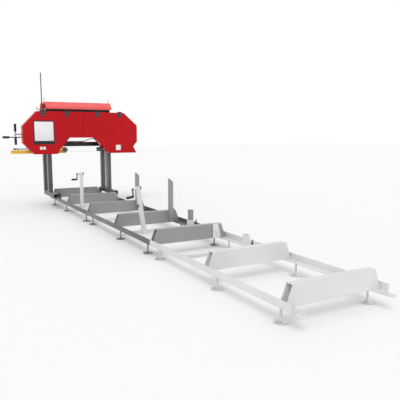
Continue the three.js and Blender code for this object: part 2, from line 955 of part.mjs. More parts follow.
// The screw turns in its housing, held by a collar, and its grip hangs from the arm
function clampCrank() {
  const collarBack = clampBossEndWall - clampBossBack + runningGap;
  const hubFront = -clampBossBack - runningGap;
  const armFrontFace = hubFront - clampHubLength + clampCrankThickness;
  const screw = rodX(clampScrewRadius, [hubFront - clampHubLength, clampBossFront - clampCollarLength], 0, 0);
  const collar = rodX(clampCollarRadius, [collarBack, collarBack + clampCollarLength], 0, 0);
  const hub = rodX(clampCollarRadius, [hubFront - clampHubLength, hubFront], 0, 0);
  const arm = block(
    [armFrontFace - clampCrankThickness, armFrontFace],
    around(0, clampCrankWidth),
    [-clampCrankLength - clampCrankWidth / 2, 0],
  );
  const gripEnd = armFrontFace - clampCrankThickness - clampGripLength;
  const grip = rodX(clampGripRadius, [gripEnd, armFrontFace - weldSink], 0, -clampCrankLength);
  return join(screw, collar, hub, arm, grip);
}

// The pad's hollow stem travels on the screw, inside the housing
function clampPad() {
  const stemBack = clampBossEndWall - clampBossBack + 3 * runningGap + clampCollarLength;
  const padBack = clampBossFront + seatGap;
  const stem = rodX(clampStemRadius, [stemBack, padBack + weldSink], 0, 0);
  const plate = rodX(clampPadRadius, [padBack, padBack + clampPadThickness], 0, 0);
  const teeth = [-1, 1].map((row) => frontPlate([
    [padBack + clampPadThickness - weldSink, 0],
    [padBack + clampPadThickness + clampPadToothDepth, row * clampPadRadius / 2],
    [padBack + clampPadThickness - weldSink, row * clampPadRadius * Math.SQRT1_2],
  ], around(0, clampPadRadius)));
  const bore = rodX(
    clampScrewRadius + runningGap,
    [stemBack - cutOverrun, padBack + runningGap],
    0,
    0,
  );
  return cut(join(stem, plate, ...teeth), bore);
}

function addClamp(ending, offset, lean) {
  const clamp = new THREE.Group();
  clamp.position.set(offset, barPlaces[ending], barHeight);
  track.add(clamp);
  place(clamp, `clamp_post_${ending}`, clampPost(lean), paleSteel);
  const screwLine = new THREE.Group();
  screwLine.rotation.y = THREE.MathUtils.degToRad(lean);
  screwLine.position.set(
    clampScrewRise * Math.sin(screwLine.rotation.y),
    0,
    clampScrewRise * Math.cos(screwLine.rotation.y),
  );
  clamp.add(screwLine);
  place(screwLine, `clamp_crank_${ending}`, clampCrank(), blackRubber);
  place(screwLine, `clamp_pad_${ending}`, clampPad(), darkSteel);
}

addClamp('middle', clampMiddleOffset, clampMiddleLean);
addClamp('far', clampFarOffset, clampFarLean);

// Carriage

const axlePlaces = { front: frontAxlePlace, rear: rearAxlePlace };
const wheelOuterFace = railLegMiddle + trackWheelWidth / 2;
const wheelInnerFace = railLegMiddle - trackWheelWidth / 2;

function hollowPost(side, y) {
  const wide = around(side * postMiddle, tubeSize);
  const deep = around(y, tubeSize);
  const outside = block(wide, deep, [baseTopHeight - weldSink, capBottomHeight + weldSink]);
  const inside = block(grown(wide, -tubeWall), grown(deep, -tubeWall), [baseTopHeight, capBottomHeight]);
  return cut(outside, inside);
}

function axle(side, y) {
  const nutFace = wheelInnerFace - trackWheelSideGap;
  const pin = rodX(
    axleRadius,
    sideSpan(side, nutFace - axleNutLength, postInnerFace + weldSink),
    y,
    axleHeight,
  );
  const washer = rodX(
    axleNutRadius,
    sideSpan(side, wheelOuterFace + trackWheelSideGap, postInnerFace + weldSink),
    y,
    axleHeight,
  );
  const nut = rodX(axleNutRadius, sideSpan(side, nutFace - axleNutLength, nutFace), y, axleHeight, nutFacets);
  return join(pin, washer, nut);
}

function sideFrame(side) {
  const wide = around(side * postMiddle, tubeSize);
  const baseLength = [baseNearPlace, baseFarPlace];
  const capLength = [frontPostFront, baseFarPlace];
  const base = cut(
    block(wide, baseLength, [baseBottomHeight, baseTopHeight]),
    block(
      grown(wide, -tubeWall),
      grown(baseLength, cutOverrun),
      [baseBottomHeight + tubeWall, baseTopHeight - tubeWall],
    ),
  );
  const cap = cut(
    block(wide, capLength, [capBottomHeight, capTopHeight]),
    block(
      grown(wide, -tubeWall),
      grown(capLength, cutOverrun),
      [capBottomHeight + tubeWall, capTopHeight - tubeWall],
    ),
  );
  const posts = [frontPostPlace, rearPostPlace].map((y) => hollowPost(side, y));
  const axles = Object.values(axlePlaces).map((y) => axle(side, y));
  const ventHeight = baseTopHeight + ventRise;
  const vents = [
    rodY(
      ventRadius,
      side * postMiddle,
      [frontPostFront - cutOverrun, frontPostPlace],
      ventHeight,
      smallFacets,
    ),
    rodY(ventRadius, side * postMiddle, [rearPostPlace, baseFarPlace + cutOverrun], ventHeight, smallFacets),
  ];
  const spindleHole = rodZ(
    spindleRadius + spindleBearingGap,
    side * postMiddle,
    beamPlace,
    grown([capBottomHeight, capTopHeight], cutOverrun),
    smallFacets,
  );
  return cut(join(base, cap, ...posts, ...axles), ...vents, spindleHole);
}

place(carriage, 'side_frame_left', sideFrame(-1), postSteel);
place(carriage, 'side_frame_right', sideFrame(1), postSteel);

// Grooved wheel that runs on the upright leg of the rail
function trackWheel(side, y) {
  const grooveRadius = axleHeight - railTopHeight - seatGap;
  const grooveHalf = railThickness / 2 + trackWheelSideGap;
  const half = trackWheelWidth / 2;
  const bore = axleRadius + runningGap;
  const profile = [
    [bore, -half],
    [trackWheelRadius, -half],
    [trackWheelRadius, trackWheelLip - half],
    [grooveRadius, -grooveHalf],
    [grooveRadius, grooveHalf],
    [trackWheelRadius, half - trackWheelLip],
    [trackWheelRadius, half],
    [bore, half],
    [bore, -half],
  ];
  return turnedX(profile, 0, 0, pulleyFacets).translate(side * railLegMiddle, y, axleHeight);
}

for (const [ending, y] of Object.entries(axlePlaces)) {
  place(carriage, `track_wheel_left_${ending}`, trackWheel(-1, y), darkSteel);
  place(carriage, `track_wheel_right_${ending}`, trackWheel(1, y), darkSteel);
}

function topBeam() {
  const reach = postInnerFace - seatGap;
  const tall = [capBottomHeight, capTopHeight];
  const deep = around(beamPlace, topBeamWidth);
  const beam = block([-reach, reach], deep, tall);
  const plates = [-1, 1].map((side) => block(
    sideSpan(side, reach - topPlateThickness, reach),
    around(beamPlace, topPlateLength),
    tall,
  ));
  const hollow = block(
    grown([-reach, reach], cutOverrun),
    grown(deep, -topBeamWall),
    grown(tall, -topBeamWall),
  );
  return cut(join(beam, ...plates), hollow);
}

place(carriage, 'top_beam', topBeam(), postSteel);

// Folded roof on four legs that stand on the cap tubes
function roofCover() {
  const front = beamPlace - roofRidgeWidth / 2 - roofSlopeRun;
  const back = beamPlace + roofRidgeWidth / 2 + roofSlopeRun;
  const folds = (drop) => [
    [back, roofLipHeight - drop],
    [back - roofSlopeRun, roofRidgeHeight - drop],
    [front + roofSlopeRun, roofRidgeHeight - drop],
    [front, roofLipHeight - drop],
  ];
  const outline = [...folds(0), ...folds(roofSheet).reverse()];
  const sheet = sidePlate(outline, [-roofHalfLength, roofHalfLength]);
  const slope = (roofRidgeHeight - roofLipHeight) / roofSlopeRun;
  const legs = [];
  for (const side of [-1, 1]) {
    const wide = around(side * postMiddle, roofLegWidth);
    const legFront = frontPostFront + roofSheet;
    const legTop = roofLipHeight + slope * (legFront - front) - roofSheet / 2;
    legs.push(block(wide, [legFront, legFront + roofSheet], [capTopHeight + seatGap, legTop]));
    const legBack = baseFarPlace - roofSheet;
    const backTop = roofLipHeight + slope * (back - legBack) - roofSheet / 2;
    legs.push(block(wide, [legBack - roofSheet, legBack], [capTopHeight + seatGap, backTop]));
  }
  const lugs = [-1, 1].map((side) => cut(
    block(
      sideSpan(side, roofHalfLength - roofSheet, roofHalfLength),
      around(roofLugPlace, roofLugWidth),
      [roofRidgeHeight - weldSink, roofRidgeHeight + roofLugRise],
    ),
    rodX(
      roofLugHoleRadius,
      sideSpan(side, roofHalfLength - roofSheet - cutOverrun, roofHalfLength + cutOverrun),
      roofLugPlace,
      roofRidgeHeight + roofLugRise - roofLugHoleDrop,
      smallFacets,
    ),
  ));
  return join(sheet, ...legs, ...lugs);
}

place(carriage, 'roof_cover', roofCover(), roofPaint);

// Lifting gear: two spindles turned together by a chain on their sprockets

const sprocketBottom = capTopHeight + sprocketLift;
const sprocketTop = sprocketBottom + sprocketThickness;
const crankHubBottom = sprocketTop + sprocketHubHeight + seatGap;

function spindle(side, tipHeight) {
  const x = side * postMiddle;
  const foot = baseTopHeight + seatGap;
  const rod = rodZ(spindleRadius, x, beamPlace, [foot, tipHeight]);
  const collar = rodZ(spindleCollarRadius, x, beamPlace, [foot, foot + spindleCollarHeight]);
  const sprocket = rodZ(sprocketRadius, x, beamPlace, [sprocketBottom, sprocketTop], pulleyFacets);
  const hub = rodZ(
    sprocketHubRadius,
    x,
    beamPlace,
    [sprocketTop - weldSink, sprocketTop + sprocketHubHeight],
  );
  return join(rod, collar, sprocket, hub);
}

const crankTop = crankHubBottom + crankHubHeight;
place(carriage, 'spindle_left', spindle(-1, crankTop + spindleTipRise), brightSteel);
place(carriage, 'spindle_right', spindle(1, sprocketTop + sprocketHubHeight + spindleTipRise), brightSteel);

function liftChain() {
  const left = [-postMiddle, beamPlace];
  const right = [postMiddle, beamPlace];
  const inner = sprocketRadius + seatGap;
  const outer = inner + chainThickness;
  const tall = [sprocketBottom, sprocketTop];
  return cut(
    planPlate(loopLine(left, outer, right, outer, pulleyFacets), tall),
    planPlate(loopLine(left, inner, right, inner, pulleyFacets), grown(tall, cutOverrun)),
  );
}

place(carriage, 'lift_chain', liftChain(), darkSteel);

function liftCrank() {
  const x = -postMiddle;
  const hub = rodZ(crankHubRadius, x, beamPlace, [crankHubBottom, crankTop]);
  const armTall = [crankHubBottom, crankHubBottom + crankArmThickness];
  const arm = block([x - crankReach, x], around(beamPlace, crankArmWidth), armTall);
  const armEnd = rodZ(crankArmWidth / 2, x - crankReach, beamPlace, armTall);
  const knob = rodZ(
    crankKnobRadius,
    x - crankReach,
    beamPlace,
    [crankHubBottom, crankHubBottom + crankArmThickness + crankKnobHeight],
  );
  const bore = rodZ(spindleRadius + runningGap, x, beamPlace, grown([crankHubBottom, crankTop], cutOverrun));
  return cut(join(hub, arm, armEnd, knob), bore);
}

place(carriage, 'lift_crank', liftCrank(), brightSteel);

// Tall thin mast in a socket on the left cap tube
function mast() {
  const x = -postOuterFace - mastOffset;
  const socketTop = capTopHeight + seatGap + mastPlateThickness;
  const socket = rodZ(mastSocketRadius, x, mastPlace, [socketTop - mastSocketLength, socketTop], smallFacets);
  const plate = block(
    [x - mastSocketRadius, -postInnerFace],
    around(mastPlace, 2 * mastSocketRadius),
    [capTopHeight + seatGap, socketTop],
  );
  const rod = rodZ(mastRadius, x, mastPlace, [socketTop - mastSocketLength, mastTopHeight], smallFacets);
  return join(socket, plate, rod);
}

place(carriage, 'mast', mast(), postSteel);

// Saw head

// The housing's outline as seen from the front, anticlockwise from the lower left
function housingOutline() {
  const left = idlerWheelOffset - bandOuterRadius - housingSideGap;
  const right = driveWheelOffset + bandOuterRadius + housingSideGap - seatGap;
  const top = wheelHeight + bandOuterRadius + housingTopGap;
  const bottom = bandBottomHeight - housingBottomGap;
  return [
    [left + leftBottomBevelWidth, bottom],
    [archLeftFoot, bottom],
    [archLeftShoulder, archShoulderHeight],
    [archLeftTop, archTopHeight],
    [archRightTop, archTopHeight],
    [archRightFoot, bottom],
    [right - chuteLipInset, bottom],
    [right - chuteNotchWidth, bottom + chuteNotchHeight],
    [right, chuteTopHeight],
    [right, top - rightTopBevelHeight],
    [right - rightTopBevelWidth, top],
    [left + leftTopBevelWidth, top],
    [left, top - leftTopBevelHeight],
    [left, bottom + leftBottomBevelHeight],
  ];
}

const housingLine = housingOutline();
const housingTop = wheelHeight + bandOuterRadius + housingTopGap;
const housingBottom = bandBottomHeight - housingBottomGap;
const housingRight = driveWheelOffset + bandOuterRadius + housingSideGap - seatGap;

function wheelHousing() {
  const outside = frontPlate(housingLine, [housingFrontPlace, housingBackPlace]);
  const inside = frontPlate(
    drawnIn(housingLine, housingSheet),
    [housingFrontPlace - cutOverrun, housingBackPlace - housingSheet],
  );
  const backSpan = [housingBackPlace - housingSheet - cutOverrun, housingBackPlace + cutOverrun];
  const bandSlot = block(
    [archLeftFoot - housingSheet * 2, archRightFoot + housingSheet * 2],
    grown(around(bandWheelPlace, bandWidth), bandSlotSide),
    [bandBottomHeight - bandSlotBelow, bandBottomHeight + bandSlotAbove],
  );
  const shaftSlot = block(
    [
      idlerWheelOffset - shaftRadius - slidingGap * 2,
      idlerWheelOffset + shaftRadius + tensionSlackTravel + slidingGap * 2,
    ],
    backSpan,
    around(wheelHeight, 2 * shaftRadius + 4 * slidingGap),
  );
  const shaftHole = rodY(shaftRadius + 2 * slidingGap, driveWheelOffset, backSpan, wheelHeight);
  const chute = block(
    [housingRight - chuteMouthInset - chuteMouthLength, housingRight - chuteMouthInset - chuteLipInset],
    [housingFrontPlace + chuteMouthInset, housingBackPlace - chuteMouthInset],
    around(housingBottom, 2 * cutOverrun),
  );
  return cut(outside, inside, bandSlot, shaftSlot, shaftHole, chute);
}

place(head, 'wheel_housing', wheelHousing(), redPaint);

// Each door is a plate with a rim that steps into the housing, hung from its top edge
function door(side) {
  const farEdge = side < 0 ? housingLine.at(-1)[0] : housingRight;
  const reach = side < 0
    ? [farEdge - cutOverrun, doorSplitOffset - doorSplitGap / 2]
    : [doorSplitOffset + doorSplitGap / 2, farEdge + cutOverrun];
  const tall = [housingBottom - cutOverrun, housingTop + cutOverrun];
  const plate = overlapOf(
    frontPlate(housingLine, [doorFront, doorBack]),
    block(reach, [doorFront, doorBack], tall),
  );
  const rimDeep = [doorBack - weldSink, housingFrontPlace + doorRimDepth];
  const rimOutside = frontPlate(drawnIn(housingLine, housingSheet + doorRimClearance), rimDeep);
  const rimInside = frontPlate(
    drawnIn(housingLine, housingSheet + doorRimClearance + doorSheet),
    grown(rimDeep, cutOverrun),
  );
  const rimReach = side < 0 ? [reach[0], reach[1] - doorSheet] : [reach[0] + doorSheet, reach[1]];
  const rim = overlapOf(cut(rimOutside, rimInside), block(rimReach, rimDeep, tall));
  const straps = (side < 0 ? leftHingeOffsets : rightHingeOffsets).map((middle) => {
    const strap = block(
      around(middle, hingeStrapWidth),
      [doorFront - hingeStrapThickness, doorFront + weldSink],
      [housingTop - hingeStrapLength, housingTop + hingeLift],
    );
    const knuckle = rodX(
      hingeKnuckleRadius,
      around(middle, hingeStrapWidth),
      doorFront - hingeStrapThickness + hingeKnuckleRadius,
      housingTop + hingeLift + hingeKnuckleRadius / 2,
      smallFacets,
    );
    return join(strap, knuckle);
  });
  return join(plate, rim, ...straps);
}

place(head, 'door_left', door(-1), redPaint);
place(head, 'door_right', door(1), redPaint);

// Spoked disc wheel that carries the saw band
function bandWheel(x) {
  const rimInner = bandWheelRadius - bandWheelRim;
  const [half, web, hub] = [bandWheelWidth / 2, bandWheelWeb / 2, bandWheelHubLength / 2];
  const bore = shaftRadius + runningGap;
  const profile = [
    [bore, -hub],
    [bandWheelHubRadius, -hub],
    [bandWheelHubRadius, -web],
    [rimInner, -web],
    [rimInner, -half],
    [bandWheelRadius, -half],
    [bandWheelRadius, half],
    [rimInner, half],
    [rimInner, web],
    [bandWheelHubRadius, web],
    [bandWheelHubRadius, hub],
    [bore, hub],
    [bore, -hub],
  ];
  const disc = turnedY(profile, 0, 0, wheelFacets);
  const holes = [];
  for (let hole = 0; hole < bandWheelHoles; hole += 1) {
    const angle = 2 * Math.PI * hole / bandWheelHoles;
    holes.push(rodY(
      bandWheelHoleRadius,
      bandWheelHolePitch * Math.cos(angle),
      around(0, bandWheelWeb + 2 * cutOverrun),
      bandWheelHolePitch * Math.sin(angle),
      smallFacets,
    ));
  }
  return cut(disc, ...holes).translate(x, bandWheelPlace, wheelHeight);
}

place(head, 'drive_wheel', bandWheel(driveWheelOffset), castGrey);
place(head, 'idler_wheel', bandWheel(idlerWheelOffset), castGrey);

// The gullets between the saw band's teeth, set at even steps along its line. The line
// runs to the right below, as the band does, and each tooth's steep face leads.
function gullets(line, front) {
  const path = new THREE.Path(line.map(([across, up]) => new THREE.Vector2(across, up)));
  path.closePath();
  const count = Math.round(path.getLength() / toothPitch);
  const pitch = path.getLength() / count;
  const tip = pitch * (1 - toothLandShare);
  const wedges = [];
  for (let tooth = 0; tooth < count; tooth += 1) {
    const point = path.getPoint(tooth / count);
    const heading = path.getTangent(tooth / count).angle();
    wedges.push(planPlate([
      [-tip / 2, front - cutOverrun],
      [tip / 2, front - cutOverrun],
      [tip / 2, front],
      [pitch * gulletShare - tip / 2, front + toothDepth],
      [-tip / 2, front],
    ], around(0, 2 * cutOverrun)).rotateY(-heading).translate(point.x, 0, point.y));
  }
  return wedges;
}

function sawBand() {
  const idler = [idlerWheelOffset, wheelHeight];
  const drive = [driveWheelOffset, wheelHeight];
  const deep = around(bandWheelPlace, bandWidth);
  const outerLine = loopLine(idler, bandOuterRadius, drive, bandOuterRadius, wheelFacets);
  const innerLine = loopLine(idler, bandInnerRadius, drive, bandInnerRadius, wheelFacets);
  return cut(
    frontPlate(outerLine, deep),
    frontPlate(innerLine, grown(deep, cutOverrun)),
    ...gullets(outerLine, deep[0]),
  );
}

place(head, 'saw_band', sawBand(), brightSteel);

// Head frame: beam with sleeves round the posts, arms to the housing, the tension
// guide at the left and the motor plate at the right

const tensionPlateBack = tensionPlatePlace + tensionPlateThickness;
const tensionBlockFront = tensionPlatePlace - tensionLipDepth;
const motorPlateBack = motorPlatePlace + motorPlateThickness;

function postSleeve(side) {
  const near = frontPostPlace + tubeSize / 2;
  const far = rearPostPlace - tubeSize / 2;
  const cheekDeep = [near - cheekOverlap, far + cheekOverlap];
  const cheekTall = [cheekBottomHeight, cheekTopHeight];
  const inner = block(
    sideSpan(side, postInnerFace - slidingGap - cheekThickness, postInnerFace - slidingGap),
    cheekDeep,
    cheekTall,
  );
  const outer = block(
    sideSpan(side, postOuterFace + slidingGap, postOuterFace + slidingGap + cheekThickness),
    cheekDeep,
    cheekTall,
  );
  const padsDeep = [[near + slidingGap, beamFront + weldSink], [beamBack - weldSink, far - slidingGap]];
  const padWide = around(side * postMiddle, padWidth);
  const pads = padsDeep.map((deep) => block(padWide, deep, around(beamHeight, padHeight)));
  return join(inner, outer, ...pads);
}

function frameArm(middle) {
  return block(around(middle, armWidth), [armFront, beamPlace], [beamBottomHeight, beamTopHeight]);
}

function tensionGuide() {
  const left = -leftOuterArmOffset - armWidth / 2;
  const right = -postOuterFace - 2 * cheekThickness;
  const halfOpen = tensionBlockHeight / 2 + slidingGap;
  const deep = [tensionBlockFront, tensionPlatePlace + weldSink];
  const plate = block(
    [left, right],
    [tensionPlatePlace, tensionPlateBack],
    [beamBottomHeight, tensionPlateTop],
  );
  const lips = [-1, 1].map((way) => {
    const low = wheelHeight + way * (halfOpen + tensionLipThickness / 2) - tensionLipThickness / 2;
    return block([left, right], deep, [low, low + tensionLipThickness]);
  });
  const lugRight = left + tensionScrewLug;
  const lug = block(
    [left, lugRight],
    deep,
    [wheelHeight - halfOpen - weldSink, wheelHeight + halfOpen + weldSink],
  );
  const screwPlace = tensionPlatePlace - tensionLipDepth / 2;
  const screwHole = rodX(
    tensionScrewRadius + runningGap,
    grown([left, lugRight], cutOverrun),
    screwPlace,
    wheelHeight,
  );
  return cut(join(plate, ...lips, lug), screwHole);
}

function motorPlate() {
  const deep = [motorPlatePlace, motorPlateBack];
  const plate = block([motorPlateLeft, motorPlateRight], deep, [beamBottomHeight, motorPlateTop]);
  const bearing = rodY(
    bearingRadius,
    driveWheelOffset,
    [motorPlatePlace - bearingFront, motorPlateBack + bearingBack],
    wheelHeight,
  );
  const shaftHole = rodY(
    shaftRadius + runningGap,
    driveWheelOffset,
    grown([motorPlatePlace - bearingFront, motorPlateBack + bearingBack], cutOverrun),
    wheelHeight,
  );
  const motorHole = rodY(motorBossRadius + slidingGap, motorOffset, grown(deep, cutOverrun), motorHeight);
  return cut(join(plate, bearing), shaftHole, motorHole);
}

// The hanger below the beam, in which the guide arm slides
function armHanger() {
  const tallOpen = [guideArmBottom - barHoldGap, guideArmBottom + guideArmHeight + barHoldGap];
  const deepOpen = grown(around(guideArmPlace, guideArmDepth), barHoldGap);
  const wide = around(hangerOffset, hangerWidth);
  const ring = block(wide, grown(deepOpen, hangerWall - barHoldGap), grown(tallOpen, hangerWall));
  const window = block(grown(wide, cutOverrun), deepOpen, tallOpen);
  const hangerBack = deepOpen[1] + hangerWall;
  const strap = block(
    wide,
    [hangerBack - hangerWall, hangerBack - barHoldGap],
    [tallOpen[1], beamBottomHeight + hangerWall],
  );
  const shelf = block(wide, [deepOpen[1], beamPlace], [beamBottomHeight, beamBottomHeight + hangerThickness]);
  return cut(join(ring, strap, shelf), window);
}

// The fixed blade guide hangs from the inner right arm
function fixedGuide() {
  const pinTall = rollerHeight;
  const plateBack = armFront + guideHeadThickness + housingSheet;
  const plateDeep = [armFront + housingSheet, plateBack];
  const plate = frontPlate([
    [rightRollerOffset - guideHeadWidth / 2, pinTall - rollerPinHead * 2],
    [rightRollerOffset + guideHeadWidth / 2, pinTall - rollerPinHead * 2],
    [innerArmOffset + armWidth / 2, beamBottomHeight + weldSink],
    [innerArmOffset - armWidth / 2, beamBottomHeight + weldSink],
    [rightRollerOffset - guideHeadWidth / 2, pinTall + rollerPinHead * 2],
  ], plateDeep);
  return join(plate, rollerPin(rightRollerOffset, plateBack));
}

// The pin on which a guide roller turns, reaching forward over the band
function rollerPin(x, back) {
  const front = bandWheelPlace - rollerLength / 2 - runningGap;
  const shoulder = bandBackPlace + runningGap + rollerFlangeThickness + runningGap;
  const pin = rodY(rollerPinRadius, x, [front - rollerPinHeadLength, back], rollerHeight, smallFacets);
  const nut = rodY(rollerPinHead, x, [front - rollerPinHeadLength, front], rollerHeight, nutFacets);
  const collar = rodY(rollerPinHead, x, [shoulder, back], rollerHeight, smallFacets);
  return join(pin, nut, collar);
}

function headFrame() {
  const beam = block([-beamReach, beamReach], around(beamPlace, beamSize), [beamBottomHeight, beamTopHeight]);
  const hollow = block(
    grown([-beamReach, beamReach], cutOverrun),
    around(beamPlace, beamSize - 2 * tubeWall),
    [beamBottomHeight + tubeWall, beamTopHeight - tubeWall],
  );
  const arms = [-leftOuterArmOffset, -innerArmOffset, innerArmOffset, rightOuterArmOffset].map(frameArm);
  const solid = join(
    cut(join(beam, postSleeve(-1), postSleeve(1)), hollow),
    ...arms,
    tensionGuide(),
    motorPlate(),
    armHanger(),
    fixedGuide(),
  );
  const threads = [-1, 1].map((side) => rodZ(
    spindleRadius + spindleThreadGap,
    side * postMiddle,
    beamPlace,
    grown([cheekBottomHeight, cheekTopHeight], cutOverrun),
  ));
  return cut(solid, ...threads);
}

place(head, 'head_frame', headFrame(), blackPaint);

// Idler side: a sliding block that carries the shaft, and the screw that moves it

const tensionScrewPlace = tensionPlatePlace - tensionLipDepth / 2;

function tensionBlock() {
  const wide = around(idlerWheelOffset, tensionBlockLength);
  const deep = [tensionBlockFront, tensionPlatePlace - slidingGap];
  const body = block(wide, deep, around(wheelHeight, tensionBlockHeight));
  const shaftFront = bandWheelPlace - bandWheelHubLength / 2 - runningGap;
  const shoulder = bandWheelPlace + bandWheelHubLength / 2 + runningGap;
  const shaft = rodY(
    shaftRadius,
    idlerWheelOffset,
    [shaftFront - shaftNutLength, tensionBlockFront + weldSink],
    wheelHeight,
  );
  const nut = rodY(
    shaftNutRadius,
    idlerWheelOffset,
    [shaftFront - shaftNutLength, shaftFront],
    wheelHeight,
    nutFacets,
  );
  const collar = rodY(
    shaftNutRadius,
    idlerWheelOffset,
    [shoulder, housingBackPlace - housingSheet - runningGap],
    wheelHeight,
  );
  const thread = rodX(
    tensionScrewRadius + runningGap,
    [wide[0] - cutOverrun, wide[0] + tensionScrewInside + tensionSlackTravel],
    tensionScrewPlace,
    wheelHeight,
  );
  return cut(join(body, shaft, nut, collar), thread);
}

place(head, 'tension_block', tensionBlock(), darkSteel);

function tensionHandle() {
  const guideLeft = -leftOuterArmOffset - armWidth / 2;
  const lugRight = guideLeft + tensionScrewLug;
  const blockLeft = idlerWheelOffset - tensionBlockLength / 2;
  const screw = rodX(
    tensionScrewRadius,
    [tensionHandleOffset, blockLeft + tensionScrewInside],
    tensionScrewPlace,
    wheelHeight,
  );
  const outerCollar = rodX(
    tensionCollarRadius,
    [guideLeft - runningGap - tensionCollarLength, guideLeft - runningGap],
    tensionScrewPlace,
    wheelHeight,
  );
  const innerCollar = rodX(
    tensionCollarRadius,
    [lugRight + runningGap, lugRight + runningGap + tensionCollarLength],
    tensionScrewPlace,
    wheelHeight,
  );
  const hub = rodX(
    tensionHubRadius,
    around(tensionHandleOffset, tensionHubLength),
    tensionScrewPlace,
    wheelHeight,
  );
  const bar = rodZ(
    tensionHandleRadius,
    tensionHandleOffset,
    tensionScrewPlace,
    around(wheelHeight, tensionHandleLength - tensionGripLength),
  );
  const grips = [-1, 1].map((way) => {
    const end = wheelHeight + way * tensionHandleLength / 2;
    return rodZ(
      tensionGripRadius,
      tensionHandleOffset,
      tensionScrewPlace,
      way < 0 ? [end, end + tensionGripLength] : [end - tensionGripLength, end],
    );
  });
  return join(screw, outerCollar, innerCollar, hub, bar, ...grips);
}

place(head, 'tension_handle', tensionHandle(), blackRubber);

// Drive side: motor, two pulleys and a belt

function pulleyProfile(radius, bore) {
  const half = pulleyWidth / 2;
  const groove = radius - pulleyGrooveDepth;
  const grooveHalf = beltWidth / 2 + runningGap;
  return [
    [bore, -half],
    [radius, -half],
    [radius, -half + trackWheelLip],
    [groove, -grooveHalf],
    [groove, grooveHalf],
    [radius, half - trackWheelLip],
    [radius, half],
    [bore, half],
    [bore, -half],
  ];
}

// Shaft with its pulley keyed on, from the wheel's nut to behind the bearing
function driveShaft() {
  const pulley = turned(pulleyProfile(drivePulleyRadius, shaftRadius - weldSink), wheelFacets);
  const shaftFront = bandWheelPlace - bandWheelHubLength / 2 - runningGap;
  const shoulder = bandWheelPlace + bandWheelHubLength / 2 + runningGap;
  const shaft = rodY(
    shaftRadius,
    driveWheelOffset,
    [shaftFront - shaftNutLength, motorPlateBack + bearingBack + shaftNutLength],
    wheelHeight,
  );
  const nut = rodY(
    shaftNutRadius,
    driveWheelOffset,
    [shaftFront - shaftNutLength, shaftFront],
    wheelHeight,
    nutFacets,
  );
  const collar = rodY(
    shaftNutRadius,
    driveWheelOffset,
    [shoulder, housingBackPlace - housingSheet - runningGap],
    wheelHeight,
  );
  return join(shaft, nut, collar, pulley.translate(driveWheelOffset, pulleyPlace, wheelHeight));
}

place(head, 'drive_shaft', driveShaft(), darkSteel);

function motor() {
  const front = motorPlateBack + seatGap;
  const finsEnd = front + motorLength - motorCowlLength;
  const flange = rodY(
    motorRadius,
    motorOffset,
    [front, front + motorFlangeThickness],
    motorHeight,
    pulleyFacets,
  );
  const body = rodY(
    motorRadius - motorFinDepth,
    motorOffset,
    [front, front + motorLength],
    motorHeight,
    pulleyFacets,
  );
  const cowl = rodY(motorRadius, motorOffset, [finsEnd, front + motorLength], motorHeight, pulleyFacets);
  const boss = rodY(motorBossRadius, motorOffset, [motorPlatePlace, front + weldSink], motorHeight);
  const fins = [];
  for (let fin = 0; fin < motorFins; fin += 1) {
    const angle = 2 * Math.PI * fin / motorFins;
    const ridge = block(
      [motorRadius - 2 * motorFinDepth, motorRadius],
      [front + weldSink, finsEnd + weldSink],
      around(0, motorFinWidth),
    );
    fins.push(ridge.rotateY(angle).translate(motorOffset, 0, motorHeight));
  }
  const boxTop = motorHeight - motorRadius + motorFinDepth + weldSink;
  const terminalBox = block(
    around(motorOffset, terminalBoxWidth),
    [front + terminalBoxBack, front + terminalBoxBack + terminalBoxLength],
    [boxTop - terminalBoxHeight, boxTop],
  );
  const shaftHole = rodY(
    motorShaftRadius + runningGap,
    motorOffset,
    [motorPlatePlace - cutOverrun, front + motorLength / 2],
    motorHeight,
  );
  return cut(join(flange, body, cowl, boss, ...fins, terminalBox), shaftHole);
}

place(head, 'motor', motor(), castGrey);

function motorPulley() {
  const pulley = turned(pulleyProfile(motorPulleyRadius, motorShaftRadius - weldSink), pulleyFacets);
  const shaftFront = pulleyPlace - pulleyWidth / 2 - motorShaftClearance;
  const shaftBack = motorPlateBack + motorLength / 2 - motorShaftClearance;
  const shaft = rodY(motorShaftRadius, motorOffset, [shaftFront, shaftBack], motorHeight);
  return join(shaft, pulley.translate(motorOffset, pulleyPlace, motorHeight));
}

place(head, 'motor_pulley', motorPulley(), darkSteel);

function driveBelt() {
  const drive = [driveWheelOffset, wheelHeight];
  const upper = [motorOffset, motorHeight];
  const deep = around(pulleyPlace, beltWidth);
  const inner = runningGap - pulleyGrooveDepth;
  const outer = inner + beltThickness;
  const line = (grow) => loopLine(
    drive,
    drivePulleyRadius + grow,
    upper,
    motorPulleyRadius + grow,
    wheelFacets,
  );
  return cut(frontPlate(line(outer), deep), frontPlate(line(inner), grown(deep, cutOverrun)));
}

place(head, 'drive_belt', driveBelt(), blackRubber);

// Blade guides

